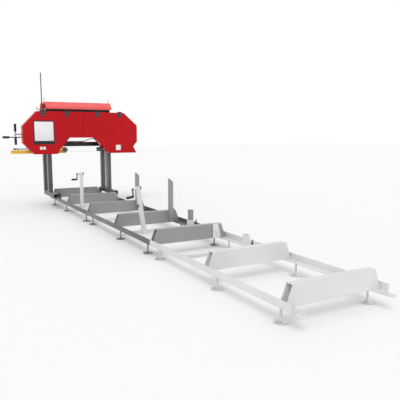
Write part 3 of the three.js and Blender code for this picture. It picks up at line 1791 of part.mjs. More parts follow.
function guideArm() {
  const deep = around(guideArmPlace, guideArmDepth);
  const tall = [guideArmBottom, guideArmBottom + guideArmHeight];
  const arm = cut(
    block([guideArmLeft, guideArmRight - guideHeadWidth], deep, tall),
    block(
      [guideArmLeft - cutOverrun, guideArmRight - guideHeadWidth - cutOverrun],
      grown(deep, -guideArmWall),
      grown(tall, -guideArmWall),
    ),
  );
  const plate = block(
    [guideArmRight - guideHeadWidth - weldSink, guideArmRight],
    [deep[0], deep[0] + guideHeadThickness],
    [guideArmBottom, guideHeadTop],
  );
  const rod = rodX(
    armHandleRadius,
    [armHandleEnd, armHandleStart],
    guideArmPlace,
    tall[1] + armHandleRise,
    smallFacets,
  );
  const knobEnd = armHandleEnd + armKnobLength;
  const endPlaces = [armHandleStart - 2 * armHandleRadius, knobEnd + 2 * armHandleRadius];
  const ends = endPlaces.map((x) => rodZ(
    armHandleRadius,
    x,
    guideArmPlace,
    [tall[1] - weldSink, tall[1] + armHandleRise - weldSink],
    smallFacets,
  ));
  const knob = rodX(
    armKnobRadius,
    [armHandleEnd - armHandleRadius, knobEnd],
    guideArmPlace,
    tall[1] + armHandleRise,
    smallFacets,
  );
  return join(arm, plate, rollerPin(leftRollerOffset, deep[0] + weldSink), rod, ...ends, knob);
}

place(head, 'guide_arm', guideArm(), yellowPaint);

// Roller above the band, with a flange behind the band's back edge
function guideRoller(x) {
  const front = bandWheelPlace - rollerLength / 2;
  const flangeFront = bandBackPlace + runningGap;
  const bore = rollerPinRadius + runningGap;
  const profile = [
    [bore, front],
    [rollerRadius, front],
    [rollerRadius, flangeFront],
    [rollerFlangeRadius, flangeFront],
    [rollerFlangeRadius, flangeFront + rollerFlangeThickness],
    [bore, flangeFront + rollerFlangeThickness],
    [bore, front],
  ];
  return turnedY(profile, x, rollerHeight, pulleyFacets);
}

place(head, 'guide_roller_left', guideRoller(leftRollerOffset), brightSteel);
place(head, 'guide_roller_right', guideRoller(rightRollerOffset), brightSteel);

// Push handle on a plate at the beam's left end
function pushHandle() {
  const plateLeft = -beamReach - seatGap - pushPlateThickness;
  const plate = block(
    [plateLeft, -beamReach - seatGap],
    around(pushRodPlace, pushPlateWidth),
    [pushRodHeight + pushPlateWidth / 2 - pushPlateHeight - beamSize / 2, pushRodHeight + pushPlateWidth / 2],
  );
  const rod = rodX(pushRodRadius, [pushRodEnd, plateLeft + weldSink], pushRodPlace, pushRodHeight);
  const grip = rodX(
    pushGripRadius,
    [pushRodEnd - pushGripLength, pushRodEnd + weldSink],
    pushRodPlace,
    pushRodHeight,
  );
  return join(plate, rod, grip);
}

place(head, 'push_handle', pushHandle(), blackPaint);

// Switch box on top of the beam, with two buttons towards the operator's side
function switchBox() {
  const wide = around(switchBoxOffset, switchBoxWidth);
  const deep = around(beamPlace, switchBoxDepth);
  const bottom = beamTopHeight + seatGap;
  const box = block(wide, deep, [bottom, bottom + switchBoxHeight]);
  const buttons = switchButtonShares.map((share) => rodX(
    switchButtonRadius,
    [wide[0] - switchButtonRise, wide[0] + weldSink],
    beamPlace,
    bottom + switchBoxHeight * share,
    smallFacets,
  ));
  return join(box, ...buttons);
}

place(head, 'switch_box', switchBox(), blackRubber);

// Cable from the switch box along the beam's top and up to the motor's terminal box
function beamCable() {
  const start = switchBoxOffset + switchBoxWidth / 2 + seatGap;
  const end = motorOffset - terminalBoxWidth / 2 - seatGap;
  const along = beamPlace + cableBehind;
  const rest = beamTopHeight + seatGap + cableRadius;
  const over = cheekTopHeight + cableOverSleeve + cableRadius;
  const endPlace = motorPlateBack + seatGap + terminalBoxBack + terminalBoxLength / 2;
  const endHeight = motorHeight - motorRadius + motorFinDepth + weldSink - terminalBoxHeight / 2;
  const line = new THREE.CatmullRomCurve3([
    [start, beamPlace, beamTopHeight + cableExitRise],
    [start + cableRadius, beamPlace, beamTopHeight + cableExitRise],
    [-postOuterFace - cableBehind, along, over],
    [-postInnerFace, along, over],
    [cableSlopeRun - postInnerFace, along, (rest + over) / 2],
    [2 * cableSlopeRun - postInnerFace, along, rest + cableRadius / 2],
    [0, along, rest + cableRadius / 4],
    [cableSlopeRun, along, rest + cableRadius / 2],
    [postInnerFace - 2 * cableSlopeRun, along, (rest + over) / 2],
    [postInnerFace - cableRadius, along, over + cableRadius],
    [postOuterFace, along, rest + cableDriveRise],
    [end - cableEndRun, endPlace, endHeight],
    [end, endPlace, endHeight],
  ].map((point) => new THREE.Vector3(...point)));
  const section = new THREE.Shape();
  for (let corner = 0; corner < cableFacets; corner += 1) {
    const angle = 2 * Math.PI * corner / cableFacets;
    const [x, y] = [cableRadius * Math.cos(angle), cableRadius * Math.sin(angle)];
    if (corner === 0) section.moveTo(x, y);
    else section.lineTo(x, y);
  }
  section.closePath();
  return new THREE.ExtrudeGeometry(section, { steps: cableSteps, extrudePath: line, bevelEnabled: false });
}

place(head, 'beam_cable', beamCable(), greyCable);

// The origin is under the near left foot
machine.position.set(footGauge / 2, -endFootPlace, 0);
machine.updateMatrixWorld(true);

export default machine;
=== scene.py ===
import bpy
import json
import math
from mathutils import Euler, Matrix, Vector


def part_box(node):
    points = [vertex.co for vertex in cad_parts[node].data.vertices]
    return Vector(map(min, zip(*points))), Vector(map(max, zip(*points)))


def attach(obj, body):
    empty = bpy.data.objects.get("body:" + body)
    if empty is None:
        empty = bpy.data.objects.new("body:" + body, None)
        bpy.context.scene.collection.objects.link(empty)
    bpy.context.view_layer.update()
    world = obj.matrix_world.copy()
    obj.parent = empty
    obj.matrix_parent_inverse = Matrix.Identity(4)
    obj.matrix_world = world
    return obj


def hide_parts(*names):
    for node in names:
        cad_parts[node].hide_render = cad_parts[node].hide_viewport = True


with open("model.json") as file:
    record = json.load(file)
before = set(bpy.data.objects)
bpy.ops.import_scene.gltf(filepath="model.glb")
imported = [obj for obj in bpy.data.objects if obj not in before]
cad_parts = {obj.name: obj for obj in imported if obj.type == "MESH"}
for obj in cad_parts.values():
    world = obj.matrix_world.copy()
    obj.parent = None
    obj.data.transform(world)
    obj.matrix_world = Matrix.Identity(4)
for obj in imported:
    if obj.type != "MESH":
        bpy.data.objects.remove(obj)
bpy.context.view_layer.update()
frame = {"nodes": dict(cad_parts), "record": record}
nodes = frame["nodes"]
print("frame loaded:", len(nodes), "nodes")

# Tools for shader nodes


def feed(tree, socket, value):
    # a socket takes another node's output or a constant
    if isinstance(value, bpy.types.NodeSocket):
        tree.links.new(value, socket)
    else:
        socket.default_value = value


def addNode(tree, kind, values=None):
    node = tree.nodes.new("ShaderNode" + kind)
    for label, value in (values or {}).items():
        feed(tree, node.inputs[label], value)
    return node


def mathNode(tree, operation, *values, clamp=False):
    node = addNode(tree, "Math", dict(enumerate(values)))
    node.operation = operation
    node.use_clamp = clamp
    return node.outputs[0]


def noiseNode(tree, scale, detail, stretch=None):
    source = addNode(tree, "TexCoord").outputs["Object"]
    if stretch:
        source = addNode(tree, "Mapping", {"Scale": stretch, "Vector": source}).outputs[0]
    return addNode(tree, "TexNoise", {"Detail": detail, "Scale": scale, "Vector": source}).outputs["Fac"]


def rampNode(tree, value, low, high):
    return addNode(tree, "MapRange", {"From Min": low, "From Max": high, "Value": value}).outputs[0]


def mixColour(tree, share, first, second):
    node = addNode(tree, "Mix")
    node.data_type = "RGBA"
    for slot, value in ((0, share), (6, first), (7, second)):
        feed(tree, node.inputs[slot], value)
    return node.outputs[2]


def newMaterial(name):
    material = bpy.data.materials.new(name)
    material.use_nodes = True
    return material, material.node_tree, material.node_tree.nodes["Principled BSDF"]


# Camera, floor and light

view = {
    "place": (-1.364, -1.698, 0.8395), "turnRight": 29.2, "lookDown": 7.555, "lens": 44.84, "sensor": 36,
    "farthest": 100,
}
studio = {
    "white": (1, 1, 1, 1), "skyStrength": 0.78, "sunStrength": 0.95, "sunTurn": (36, 10, -48),
    "sunAngle": 35, "sunPlace": (0, 0, 5), "floorSize": 60, "floorPlace": (0, 2, -0.0005),
    "floorColour": (0.94, 0.94, 0.94, 1), "floorRough": 0.9, "floorShine": 0.1,
}


def makeCamera():
    bpy.ops.object.camera_add(location=view["place"])
    camera = bpy.context.object
    camera.rotation_euler = Euler((math.radians(90 - view["lookDown"]), 0, -math.radians(view["turnRight"])))
    camera.data.lens = view["lens"]
    camera.data.sensor_width = view["sensor"]
    camera.data.clip_end = view["farthest"]
    bpy.context.scene.camera = camera


def makeWorld():
    world = bpy.data.worlds.new("softSky")
    bpy.context.scene.world = world
    world.use_nodes = True
    tree = world.node_tree
    tree.nodes.clear()
    lit = addNode(tree, "Background", {"Color": studio["white"], "Strength": studio["skyStrength"]})
    seen = addNode(tree, "Background", {"Color": studio["white"]})
    # what the camera and shiny or clear things see is plain white, the rest is lit as usual
    path = addNode(tree, "LightPath").outputs
    direct = mathNode(tree, "MAXIMUM", path["Is Camera Ray"], path["Is Glossy Ray"])
    direct = mathNode(tree, "MAXIMUM", direct, path["Is Transmission Ray"])
    mix = addNode(tree, "MixShader", {0: direct, 1: lit.outputs[0], 2: seen.outputs[0]})
    addNode(tree, "OutputWorld", {"Surface": mix.outputs[0]})


def makeFloor():
    bpy.ops.mesh.primitive_plane_add(size=studio["floorSize"], location=studio["floorPlace"])
    floor = bpy.context.object
    floor.name = "studioFloor"
    material, tree, shader = newMaterial("studioFloor")
    shader.inputs["Base Color"].default_value = studio["floorColour"]
    shader.inputs["Roughness"].default_value = studio["floorRough"]
    shader.inputs["Specular IOR Level"].default_value = studio["floorShine"]
    floor.data.materials.append(material)


def makeSun():
    bpy.ops.object.light_add(type="SUN", location=studio["sunPlace"])
    sun = bpy.context.object
    sun.data.energy = studio["sunStrength"]
    sun.data.angle = math.radians(studio["sunAngle"])
    sun.rotation_euler = Euler([math.radians(turn) for turn in studio["sunTurn"]])


makeCamera()
makeWorld()
makeFloor()
makeSun()
bpy.context.scene.view_settings.view_transform = "Standard"
print("stage set")

# Cable along the head beam, from the switch box to the motor's terminal box

cableSizes = {
    "points": ((-0.1947, 4.251, 0.799), (-0.1897, 4.251, 0.799), (-0.1185, 4.269, 0.799),
               (-0.0555, 4.269, 0.799), (0.0345, 4.269, 0.7747), (0.1245, 4.269, 0.7528),
               (0.274, 4.269, 0.7516), (0.364, 4.269, 0.7528), (0.4235, 4.269, 0.7747),
               (0.5985, 4.269, 0.804), (0.6485, 4.269, 0.8603), (0.6667, 4.2663, 0.904),
               (0.7027, 4.2663, 0.904)),
    "diameter": 0.010, "length": 0.972, "roundness": 6,
}


def makeCable():
    curve = bpy.data.curves.new("beamCable", "CURVE")
    curve.dimensions = "3D"
    curve.bevel_depth = cableSizes["diameter"] / 2
    curve.bevel_resolution = cableSizes["roundness"]
    curve.use_fill_caps = True
    spline = curve.splines.new("BEZIER")
    spline.bezier_points.add(len(cableSizes["points"]) - 1)
    for point, place in zip(spline.bezier_points, cableSizes["points"]):
        point.co = place
        point.handle_left_type = point.handle_right_type = "AUTO"
    made = bpy.data.objects.new("beamCable", curve)
    bpy.context.scene.collection.objects.link(made)
    return made


cable = makeCable()
print("cable laid")

# Node groups that several finishes share. A noise is its scale and detail, a range its low and high end.

groupLook = {
    "edgeSamples": 4, "edgeRange": (0.95, 0.75), "breakNoise": (45, 4), "breakRange": (0.42, 0.6),
    "upRange": (0.2, 1.0), "patchNoise": (9, 5), "patchRange": (0.35, 0.7), "lineDetail": 6,
    "lineStretch": (0.4, 1, 12),
}


def groupOf(name, inputs, outputs):
    group = bpy.data.node_groups.new(name, "ShaderNodeTree")
    for label, value in inputs.items():
        socket = group.interface.new_socket(label, in_out="INPUT", socket_type="NodeSocketFloat")
        socket.default_value = value
    for label, kind in outputs.items():
        group.interface.new_socket(label, in_out="OUTPUT", socket_type="NodeSocket" + kind)
    return group, group.nodes.new("NodeGroupInput"), group.nodes.new("NodeGroupOutput")


def edgeWearGroup():
    # bare metal along sharp edges, broken up by noise
    group, start, end = groupOf("edgeWear", {"Width": 0.003, "Amount": 0.5},
                                {"Mask": "Float", "Normal": "Vector"})
    bevel = addNode(group, "Bevel", {"Radius": start.outputs["Width"]})
    bevel.samples = groupLook["edgeSamples"]
    dot = addNode(group, "VectorMath")
    dot.operation = "DOT_PRODUCT"
    feed(group, dot.inputs[0], bevel.outputs[0])
    feed(group, dot.inputs[1], addNode(group, "NewGeometry").outputs["Normal"])
    edge = rampNode(group, dot.outputs["Value"], *groupLook["edgeRange"])
    broken = rampNode(group, noiseNode(group, *groupLook["breakNoise"]), *groupLook["breakRange"])
    worn = mathNode(group, "MULTIPLY", edge, broken)
    feed(group, end.inputs["Mask"], mathNode(group, "MULTIPLY", worn, start.outputs["Amount"], clamp=True))
    feed(group, end.inputs["Normal"], bevel.outputs[0])
    return group


def dustGroup():
    # pale dust on what faces up, in soft patches
    group, start, end = groupOf("dust", {"Amount": 0.3}, {"Mask": "Float"})
    parts = addNode(group, "SeparateXYZ", {0: addNode(group, "NewGeometry").outputs["Normal"]})
    facingUp = rampNode(group, parts.outputs["Z"], *groupLook["upRange"])
    patches = rampNode(group, noiseNode(group, *groupLook["patchNoise"]), *groupLook["patchRange"])
    lying = mathNode(group, "MULTIPLY", facingUp, patches)
    feed(group, end.inputs["Mask"], mathNode(group, "MULTIPLY", lying, start.outputs["Amount"], clamp=True))
    return group


def brushedGroup():
    # fine lines along one direction, as rolled or ground steel has
    group, start, end = groupOf("brushed", {"Scale": 30.0, "Depth": 0.2},
                                {"Tone": "Float", "Height": "Float"})
    lines = noiseNode(group, start.outputs["Scale"], groupLook["lineDetail"], groupLook["lineStretch"])
    feed(group, end.inputs["Tone"], mathNode(group, "MULTIPLY", lines, start.outputs["Depth"]))
    feed(group, end.inputs["Height"], lines)
    return group


groups = {"edgeWear": edgeWearGroup(), "dust": dustGroup(), "brushed": brushedGroup()}


def placeGroup(tree, name, **values):
    node = tree.nodes.new("ShaderNodeGroup")
    node.node_tree = groups[name]
    for label, value in values.items():
        node.inputs[label].default_value = value
    return node


def srgb(red, green, blue):
    # the photograph's 0 to 255 as Blender's linear colour
    channels = [value / 255 for value in (red, green, blue)]
    return tuple(value / 12.92 if value <= 0.04045 else ((value + 0.055) / 1.055) ** 2.4
                 for value in channels) + (1,)


def addRoughness(tree, shader, source, middle, spread):
    rough = mathNode(tree, "MULTIPLY_ADD", source, spread, middle - spread / 2)
    feed(tree, shader.inputs["Roughness"], rough)


def addBump(tree, shader, height, strength, distance, normal=None):
    bump = addNode(tree, "Bump", {"Strength": strength, "Distance": distance, "Height": height})
    if normal is not None:
        feed(tree, bump.inputs["Normal"], normal)
    feed(tree, shader.inputs["Normal"], bump.outputs[0])


# Finishes. Colours are as the photograph shows them, in 0 to 255.

# each paint: colour, colour where worn, rough, metal, coat, shine, scale and depth of its peel, wear, dust
paints = {
    "redPaint": ((192, 10, 22), (128, 16, 22), 0.36, 0.0, 0.06, 0.15, 220, 0.05, 0.3, 0.04),
    # roofSkyLitRed is the red paint lightened to pink: painted light, where the sloped roof catches the sky
    "roofSkyLitRed": ((246, 100, 100), (240, 150, 148), 0.35, 0.0, 0.1, 0.4, 220, 0.05, 0.4, 0.12),
    "greyPaint": ((158, 158, 161), (200, 200, 204), 0.42, 0.25, 0.1, 0.5, 160, 0.08, 0.5, 0.2),
    "postSteel": ((98, 98, 101), (150, 150, 154), 0.4, 0.35, 0.1, 0.5, 160, 0.08, 0.4, 0.15),
    "paleSteel": ((228, 228, 230), (246, 246, 248), 0.45, 0.1, 0.1, 0.5, 160, 0.06, 0.4, 0.1),
    "blackPaint": ((28, 28, 29), (84, 84, 86), 0.42, 0.1, 0.1, 0.5, 200, 0.07, 0.4, 0.06),
    # railShadedGrey is the rails' grey paint darkened: painted shade on the rails' sides
    "railShadedGrey": ((104, 104, 107), (150, 150, 154), 0.42, 0.25, 0.1, 0.5, 160, 0.08, 0.5, 0.2),
    "whiteEnamel": ((240, 240, 242), (180, 180, 184), 0.35, 0.0, 0.3, 0.5, 260, 0.04, 0.2, 0.08),
    "yellowPaint": ((240, 188, 36), (150, 120, 60), 0.38, 0.0, 0.3, 0.5, 200, 0.05, 0.5, 0.06),
}
paintLook = {
    "coatRough": 0.12, "edge": 0.0025, "toneNoise": (3.5, 4), "toneRange": (0.3, 0.7), "deeper": 0.88,
    "dust": (206, 200, 190), "roughNoise": (14, 4), "spread": 0.16, "peelDetail": 2, "peelSize": 0.001,
}


def paintMaterial(name, colour, worn, rough, metal, coat, shine, peel, peelDepth, wear, dust):
    look = paintLook
    material, tree, shader = newMaterial(name)
    shader.inputs["Metallic"].default_value = metal
    shader.inputs["Coat Weight"].default_value = coat
    shader.inputs["Specular IOR Level"].default_value = shine
    shader.inputs["Coat Roughness"].default_value = look["coatRough"]
    edges = placeGroup(tree, "edgeWear", Width=look["edge"], Amount=wear)
    patches = placeGroup(tree, "dust", Amount=dust)
    shade = rampNode(tree, noiseNode(tree, *look["toneNoise"]), *look["toneRange"])
    base = srgb(*colour)
    deeper = tuple(channel * look["deeper"] for channel in base[:3]) + (1,)
    tone = mixColour(tree, shade, deeper, base)
    tone = mixColour(tree, edges.outputs["Mask"], tone, srgb(*worn))
    tone = mixColour(tree, patches.outputs["Mask"], tone, srgb(*look["dust"]))
    feed(tree, shader.inputs["Base Color"], tone)
    addRoughness(tree, shader, noiseNode(tree, *look["roughNoise"]), rough, look["spread"])
    grain = noiseNode(tree, peel, look["peelDetail"])
    addBump(tree, shader, grain, peelDepth, look["peelSize"], edges.outputs["Normal"])
    return material


# each metal: colour, colour of its lines, rough, scale of the lines
metals = {
    "brightSteel": ((205, 206, 208), (150, 151, 155), 0.25, 60),
    "darkSteel": ((120, 121, 125), (72, 73, 77), 0.38, 40),
    "zinc": ((178, 180, 184), (128, 130, 135), 0.35, 25),
    "paleZinc": ((232, 233, 236), (206, 207, 210), 0.4, 25),
    "castGrey": ((150, 152, 155), (108, 110, 114), 0.5, 12),
}
metalLook = {
    "metal": 0.9, "edge": 0.0015, "wear": 0.4, "worn": (230, 230, 232), "spread": 0.2, "lineDepth": 0.08,
    "lineSize": 0.001,
}


def metalMaterial(name, colour, dark, rough, scale):
    look = metalLook
    material, tree, shader = newMaterial(name)
    shader.inputs["Metallic"].default_value = look["metal"]
    brushed = placeGroup(tree, "brushed", Scale=scale, Depth=1.0)
    wear = placeGroup(tree, "edgeWear", Width=look["edge"], Amount=look["wear"])
    tone = mixColour(tree, brushed.outputs["Tone"], srgb(*dark), srgb(*colour))
    tone = mixColour(tree, wear.outputs["Mask"], tone, srgb(*look["worn"]))
    feed(tree, shader.inputs["Base Color"], tone)
    lines = brushed.outputs["Height"]
    addRoughness(tree, shader, lines, rough, look["spread"])
    addBump(tree, shader, lines, look["lineDepth"], look["lineSize"], wear.outputs["Normal"])
    return material


# each moulding: colour, its paler tone, rough, scale and depth of its grain
mouldings = {
    "blackRubber": ((30, 31, 33), (58, 59, 61), 0.62, 420, 0.3),
    "blackPlastic": ((28, 29, 31), (46, 47, 50), 0.45, 600, 0.15),
    "redButton": ((168, 30, 34), (196, 52, 54), 0.4, 500, 0.1),
    "greenButton": ((34, 122, 62), (58, 148, 84), 0.4, 500, 0.1),
    "greyCable": ((158, 160, 163), (180, 182, 185), 0.55, 300, 0.1),
}
mouldLook = {
    "dustAmount": 0.25, "dust": (150, 146, 140), "toneNoise": (18, 4), "toneRange": (0.35, 0.75),
    "roughNoise": (25, 3), "spread": 0.2, "grainDetail": 2, "grainSize": 0.0005,
}


def mouldedMaterial(name, colour, pale, rough, grain, depth):
    look = mouldLook
    material, tree, shader = newMaterial(name)
    dust = placeGroup(tree, "dust", Amount=look["dustAmount"])
    shade = rampNode(tree, noiseNode(tree, *look["toneNoise"]), *look["toneRange"])
    tone = mixColour(tree, shade, srgb(*colour), srgb(*pale))
    tone = mixColour(tree, dust.outputs["Mask"], tone, srgb(*look["dust"]))
    feed(tree, shader.inputs["Base Color"], tone)
    addRoughness(tree, shader, noiseNode(tree, *look["roughNoise"]), rough, look["spread"])
    addBump(tree, shader, noiseNode(tree, grain, look["grainDetail"]), depth, look["grainSize"])
    return material


materials = {}
for maker, table in ((paintMaterial, paints), (metalMaterial, metals), (mouldedMaterial, mouldings)):
    materials.update({name: maker(name, *values) for name, values in table.items()})

slotFinish = {
    "red_paint": "redPaint", "roof_paint": "roofSkyLitRed", "grey_paint": "greyPaint",
    "post_steel": "postSteel", "pale_steel": "paleSteel", "black_paint": "blackPaint",
    "bright_steel": "brightSteel", "dark_steel": "darkSteel", "yellow_paint": "yellowPaint",
    "cast_grey": "castGrey", "motor_grey": "castGrey", "black_rubber": "blackRubber",
    "black_plastic": "blackPlastic", "grey_cable": "greyCable",
}
finishSlot = {finish: slot for slot, finish in slotFinish.items()}    # the slot that a finish stands for
finishSlot.update({"railShadedGrey": "grey_paint", "zinc": "bright_steel", "paleZinc": "bright_steel"})
nodeSlot = {part["node"]: part["material_slot"] for part in frame["record"]["subparts"]}
for name, slot in nodeSlot.items():
    nodes[name].data.materials.clear()
    nodes[name].data.materials.append(materials[slotFinish[slot]])
print("finishes made")

# Tools for making the new pieces

toolSizes = {"smoothAngle": 35, "bevelAngle": 35, "weld": 0.00001, "endFace": 0.9}
axisTurns = {"X": (0, 90, 0), "-X": (0, -90, 0), "Y": (-90, 0, 0), "-Y": (90, 0, 0), "Z": (0, 0, 0),
             "-Z": (180, 0, 0)}


def deselectAll():
    if bpy.context.object and bpy.context.object.mode == "EDIT":
        leaveEdit()
    bpy.ops.object.select_all(action="DESELECT")


def pick(piece):
    deselectAll()
    piece.select_set(True)
    bpy.context.view_layer.objects.active = piece


def leaveEdit():
    bpy.ops.object.mode_set(mode="OBJECT")


def editAll(piece):
    pick(piece)
    bpy.ops.object.mode_set(mode="EDIT")
    bpy.ops.mesh.select_all(action="SELECT")


def closeEdit():
    bpy.ops.mesh.select_all(action="SELECT")
    bpy.ops.mesh.normals_make_consistent(inside=False)
    leaveEdit()


def extrudeBy(step):
    bpy.ops.mesh.extrude_region_move(TRANSFORM_OT_translate={"value": step})


def applyPlace(piece):
    pick(piece)
    bpy.ops.object.transform_apply(location=True, rotation=True, scale=True)
    return piece


def applyModifier(piece, kind, **values):
    pick(piece)
    bpy.ops.object.modifier_add(type=kind)
    modifier = piece.modifiers[-1]
    for label, value in values.items():
        setattr(modifier, label, value)
    bpy.ops.object.modifier_apply(modifier=modifier.name)


def shifted(place, x=0, y=0, z=0):
    return (place[0] + x, place[1] + y, place[2] + z)


def addBlock(low, high):
    deselectAll()
    bpy.ops.mesh.primitive_cube_add(size=1, location=[(a + b) / 2 for a, b in zip(low, high)])
    piece = bpy.context.object
    piece.scale = [b - a for a, b in zip(low, high)]
    return applyPlace(piece)


def addRod(start, end, radius, sides=32):
    deselectAll()
    start, end = Vector(start), Vector(end)
    along = end - start
    bpy.ops.mesh.primitive_cylinder_add(vertices=sides, radius=radius, depth=along.length,
                                        location=(start + end) / 2,
                                        rotation=along.to_track_quat("Z", "Y").to_euler())
    return applyPlace(bpy.context.object)


def startTurning(profile, sides, fill):
    deselectAll()
    radius, height = profile[0]
    bpy.ops.mesh.primitive_circle_add(vertices=sides, radius=radius, fill_type=fill, location=(0, 0, height))
    return applyPlace(bpy.context.object)


def extrudeSteps(profile):
    for (radius, height), (nextRadius, nextHeight) in zip(profile, profile[1:]):
        extrudeBy((0, 0, nextHeight - height))
        share = nextRadius / radius
        bpy.ops.transform.resize(value=(share, share, 1), center_override=(0, 0, nextHeight))


def addTurned(profile, sides=48):
    # profile holds (radius, height) steps from the lowest face upwards, turned round the Z axis
    piece = startTurning(profile, sides, "NGON")
    editAll(piece)
    extrudeSteps(profile)
    closeEdit()
    return piece


def addRing(profile, sides=64):
    # like addTurned, but with a hole along the axis: the profile's last step meets its first
    piece = startTurning(profile, sides, "NOTHING")
    bpy.context.tool_settings.mesh_select_mode = (False, True, False)
    editAll(piece)
    extrudeSteps([*profile, profile[0]])
    bpy.ops.mesh.select_all(action="SELECT")
    bpy.ops.mesh.remove_doubles(threshold=toolSizes["weld"])
    closeEdit()
    return piece


def mirrored(steps):
    # a profile's lower half and its mirror image above height 0
    return [*steps, *[(radius, -height) for radius, height in reversed(steps)]]


def drum(radius, low, high, inset, rise):
    # the profile of a cylinder with both its rims broken
    return [(radius - inset, low), (radius, low + rise), (radius, high - rise), (radius - inset, high)]


def aim(piece, place, axis="Z"):
    # lays a piece that was turned round Z along another axis, and puts it in its place
    piece.rotation_euler = Euler([math.radians(turn) for turn in axisTurns[axis]])
    piece.location = place
    return applyPlace(piece)


def turnedAt(place, axis, profile, sides):
    return aim(addTurned(profile, sides), place, axis)


def ringAt(place, axis, profile, sides):
    return aim(addRing(profile, sides), place, axis)


def addBevel(piece, width, segments=2, angle=toolSizes["bevelAngle"]):
    applyModifier(piece, "BEVEL", width=width, segments=segments, limit_method="ANGLE",
                  angle_limit=math.radians(angle))
    return piece


def softBlock(low, high, bevel, segments=2):
    return addBevel(addBlock(low, high), bevel, segments)


def softRod(start, end, radius, sides, bevel):
    return addBevel(addRod(start, end, radius, sides), bevel)


def selectFaces(piece, test):
    # leaves edit mode on, with the faces that pass the test selected
    pick(piece)
    bpy.ops.object.mode_set(mode="EDIT")
    bpy.context.tool_settings.mesh_select_mode = (False, False, True)
    bpy.ops.mesh.select_all(action="DESELECT")
    leaveEdit()
    for face in piece.data.polygons:
        face.select = bool(test(face.center, face.normal))
    bpy.ops.object.mode_set(mode="EDIT")


def taper(piece, shares):
    # draws in a block's +X end, round its own middle
    middle = max((face.center.copy() for face in piece.data.polygons), key=lambda centre: centre.x)
    selectFaces(piece, lambda centre, normal: normal.x > toolSizes["endFace"])
    bpy.ops.transform.resize(value=shares, center_override=middle)
    leaveEdit()


def cutWith(piece, *cutters):
    for cutter in cutters:
        applyModifier(piece, "BOOLEAN", operation="DIFFERENCE", solver="EXACT", object=cutter)
        bpy.data.objects.remove(cutter)
    return piece


def joinPieces(*pieces):
    deselectAll()
    for piece in pieces:
        piece.select_set(True)
    bpy.context.view_layer.objects.active = pieces[0]
    if len(pieces) > 1:
        bpy.ops.object.join()
    return bpy.context.object


def copyPiece(piece, change=None):
    # a copy with its own mesh, moved or mirrored by a matrix
    copied = piece.copy()
    copied.data = piece.data.copy()
    bpy.context.scene.collection.objects.link(copied)
    if change is not None:
        copied.data.transform(change)
        if change.determinant() < 0:
            copied.data.flip_normals()
    return copied


def repeat(piece, changes):
    # a copy for each matrix, every one with its own mesh, in place of the piece itself
    copies = [copyPiece(piece, change) for change in changes]
    bpy.data.objects.remove(piece)
    return copies


def repeatAt(piece, places):
    return repeat(piece, [Matrix.Translation(place) for place in places])


def finishPiece(piece, name, body, finish, node=None):
    # node is the CAD node that the piece stands in for
    pick(piece)
    bpy.ops.object.shade_smooth_by_angle(angle=math.radians(toolSizes["smoothAngle"]))
    piece.name = name
    piece.data.name = name
    piece.data.materials.clear()
    piece.data.materials.append(materials[finish])
    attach(piece, body)
    if node:
        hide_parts(node)


boltShape = {
    "foot": 0.94, "footRise": 0.0004, "shoulder": 0.85, "top": 0.86, "bevel": 0.06, "lift": 0.0014,
    "washer": ((1.45, 0), (1.5, 0.0003), (1.5, 0.0012), (1.4, 0.0016)), "washerSides": 28,
}


def addBolt(place, axis, radius, height, washer=True):
    # a hexagon head with its foot at the place; most of its measures are shares of the radius
    shape = boltShape
    profile = [(radius * shape["foot"], 0), (radius, shape["footRise"]), (radius, height * shape["shoulder"])]
    head = addTurned([*profile, (radius * shape["top"], height)], 6)
    addBevel(head, radius * shape["bevel"], 1)
    if washer:
        ring = addTurned([(radius * share, rise) for share, rise in shape["washer"]], shape["washerSides"])
        head.location = (0, 0, shape["lift"])
        head = joinPieces(applyPlace(head), ring)
    return aim(head, place, axis)


def addBolts(places, axis, radius, height, washer=True):
    return repeatAt(addBolt((0, 0, 0), axis, radius, height, washer), places)


threadShape = {"core": 0.86, "rise": 0.35, "crest": 0.6, "sides": 20}


def makeThread(start, end, radius, pitch):
    # a threaded rod along Z
    core = radius * threadShape["core"]
    profile = [(core, start)]
    height = start
    while height < end - pitch:
        profile += [(radius, height + pitch * threadShape["rise"]),
                    (radius, height + pitch * threadShape["crest"]),
                    (core, height + pitch)]
        height += pitch
    return addTurned(profile, threadShape["sides"])


def middleOf(node):
    low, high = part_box(node)
    return Vector([(a + b) / 2 for a, b in zip(low, high)])


def angles(count):
    return [2 * math.pi * number / count for number in range(count)]


# Track: rails with their feet

railSizes = {
    "outer": -0.030, "inner": 0.030, "legThickness": 0.005, "bottom": 0.080, "flangeTop": 0.085,
    "top": 0.120, "length": 1.4997, "section": 1.5, "near": -0.104, "middle": 0.274, "edge": 0.0012,
    "footPlaces": (0.104, 0.653, 1.396), "farFootPlaces": (0.104, 0.847, 1.396), "tongueGap": 0.0003,
    "tongueSheet": 0.005, "tongueWidth": 0.044, "tongueReach": 0.060, "tongueGrip": 0.072,
    "tongueHole": 0.007, "tongueEdge": 0.0006, "boltPlaces": (0.018, 0.05), "bolt": (0.0085, 0.006),
}
footSizes = {
    "pad": ((0.0335, 0.0), (0.035, 0.0012), (0.035, 0.0048), (0.0342, 0.0056), (0.0322, 0.0052),
            (0.0300, 0.0036), (0.024, 0.0052), (0.015, 0.0096), (0.0095, 0.013), (0.0088, 0.016),
            (0.0060, 0.0165), (0.0058, 0.02)),
    "screwLow": 0.018, "screwHigh": 0.095, "core": 0.0052, "crest": 0.006, "pitch": 0.0017,
    "crestShare": 0.4, "nut": ((0.0105, 0.0702), (0.0112, 0.0712), (0.0112, 0.0795), (0.0112, 0.0806)),
    "nutEdge": 0.0008, "topNut": ((0.0108, 0.0848), (0.0108, 0.0905), (0.0098, 0.0915)),
    "topNutEdge": 0.0006,
}


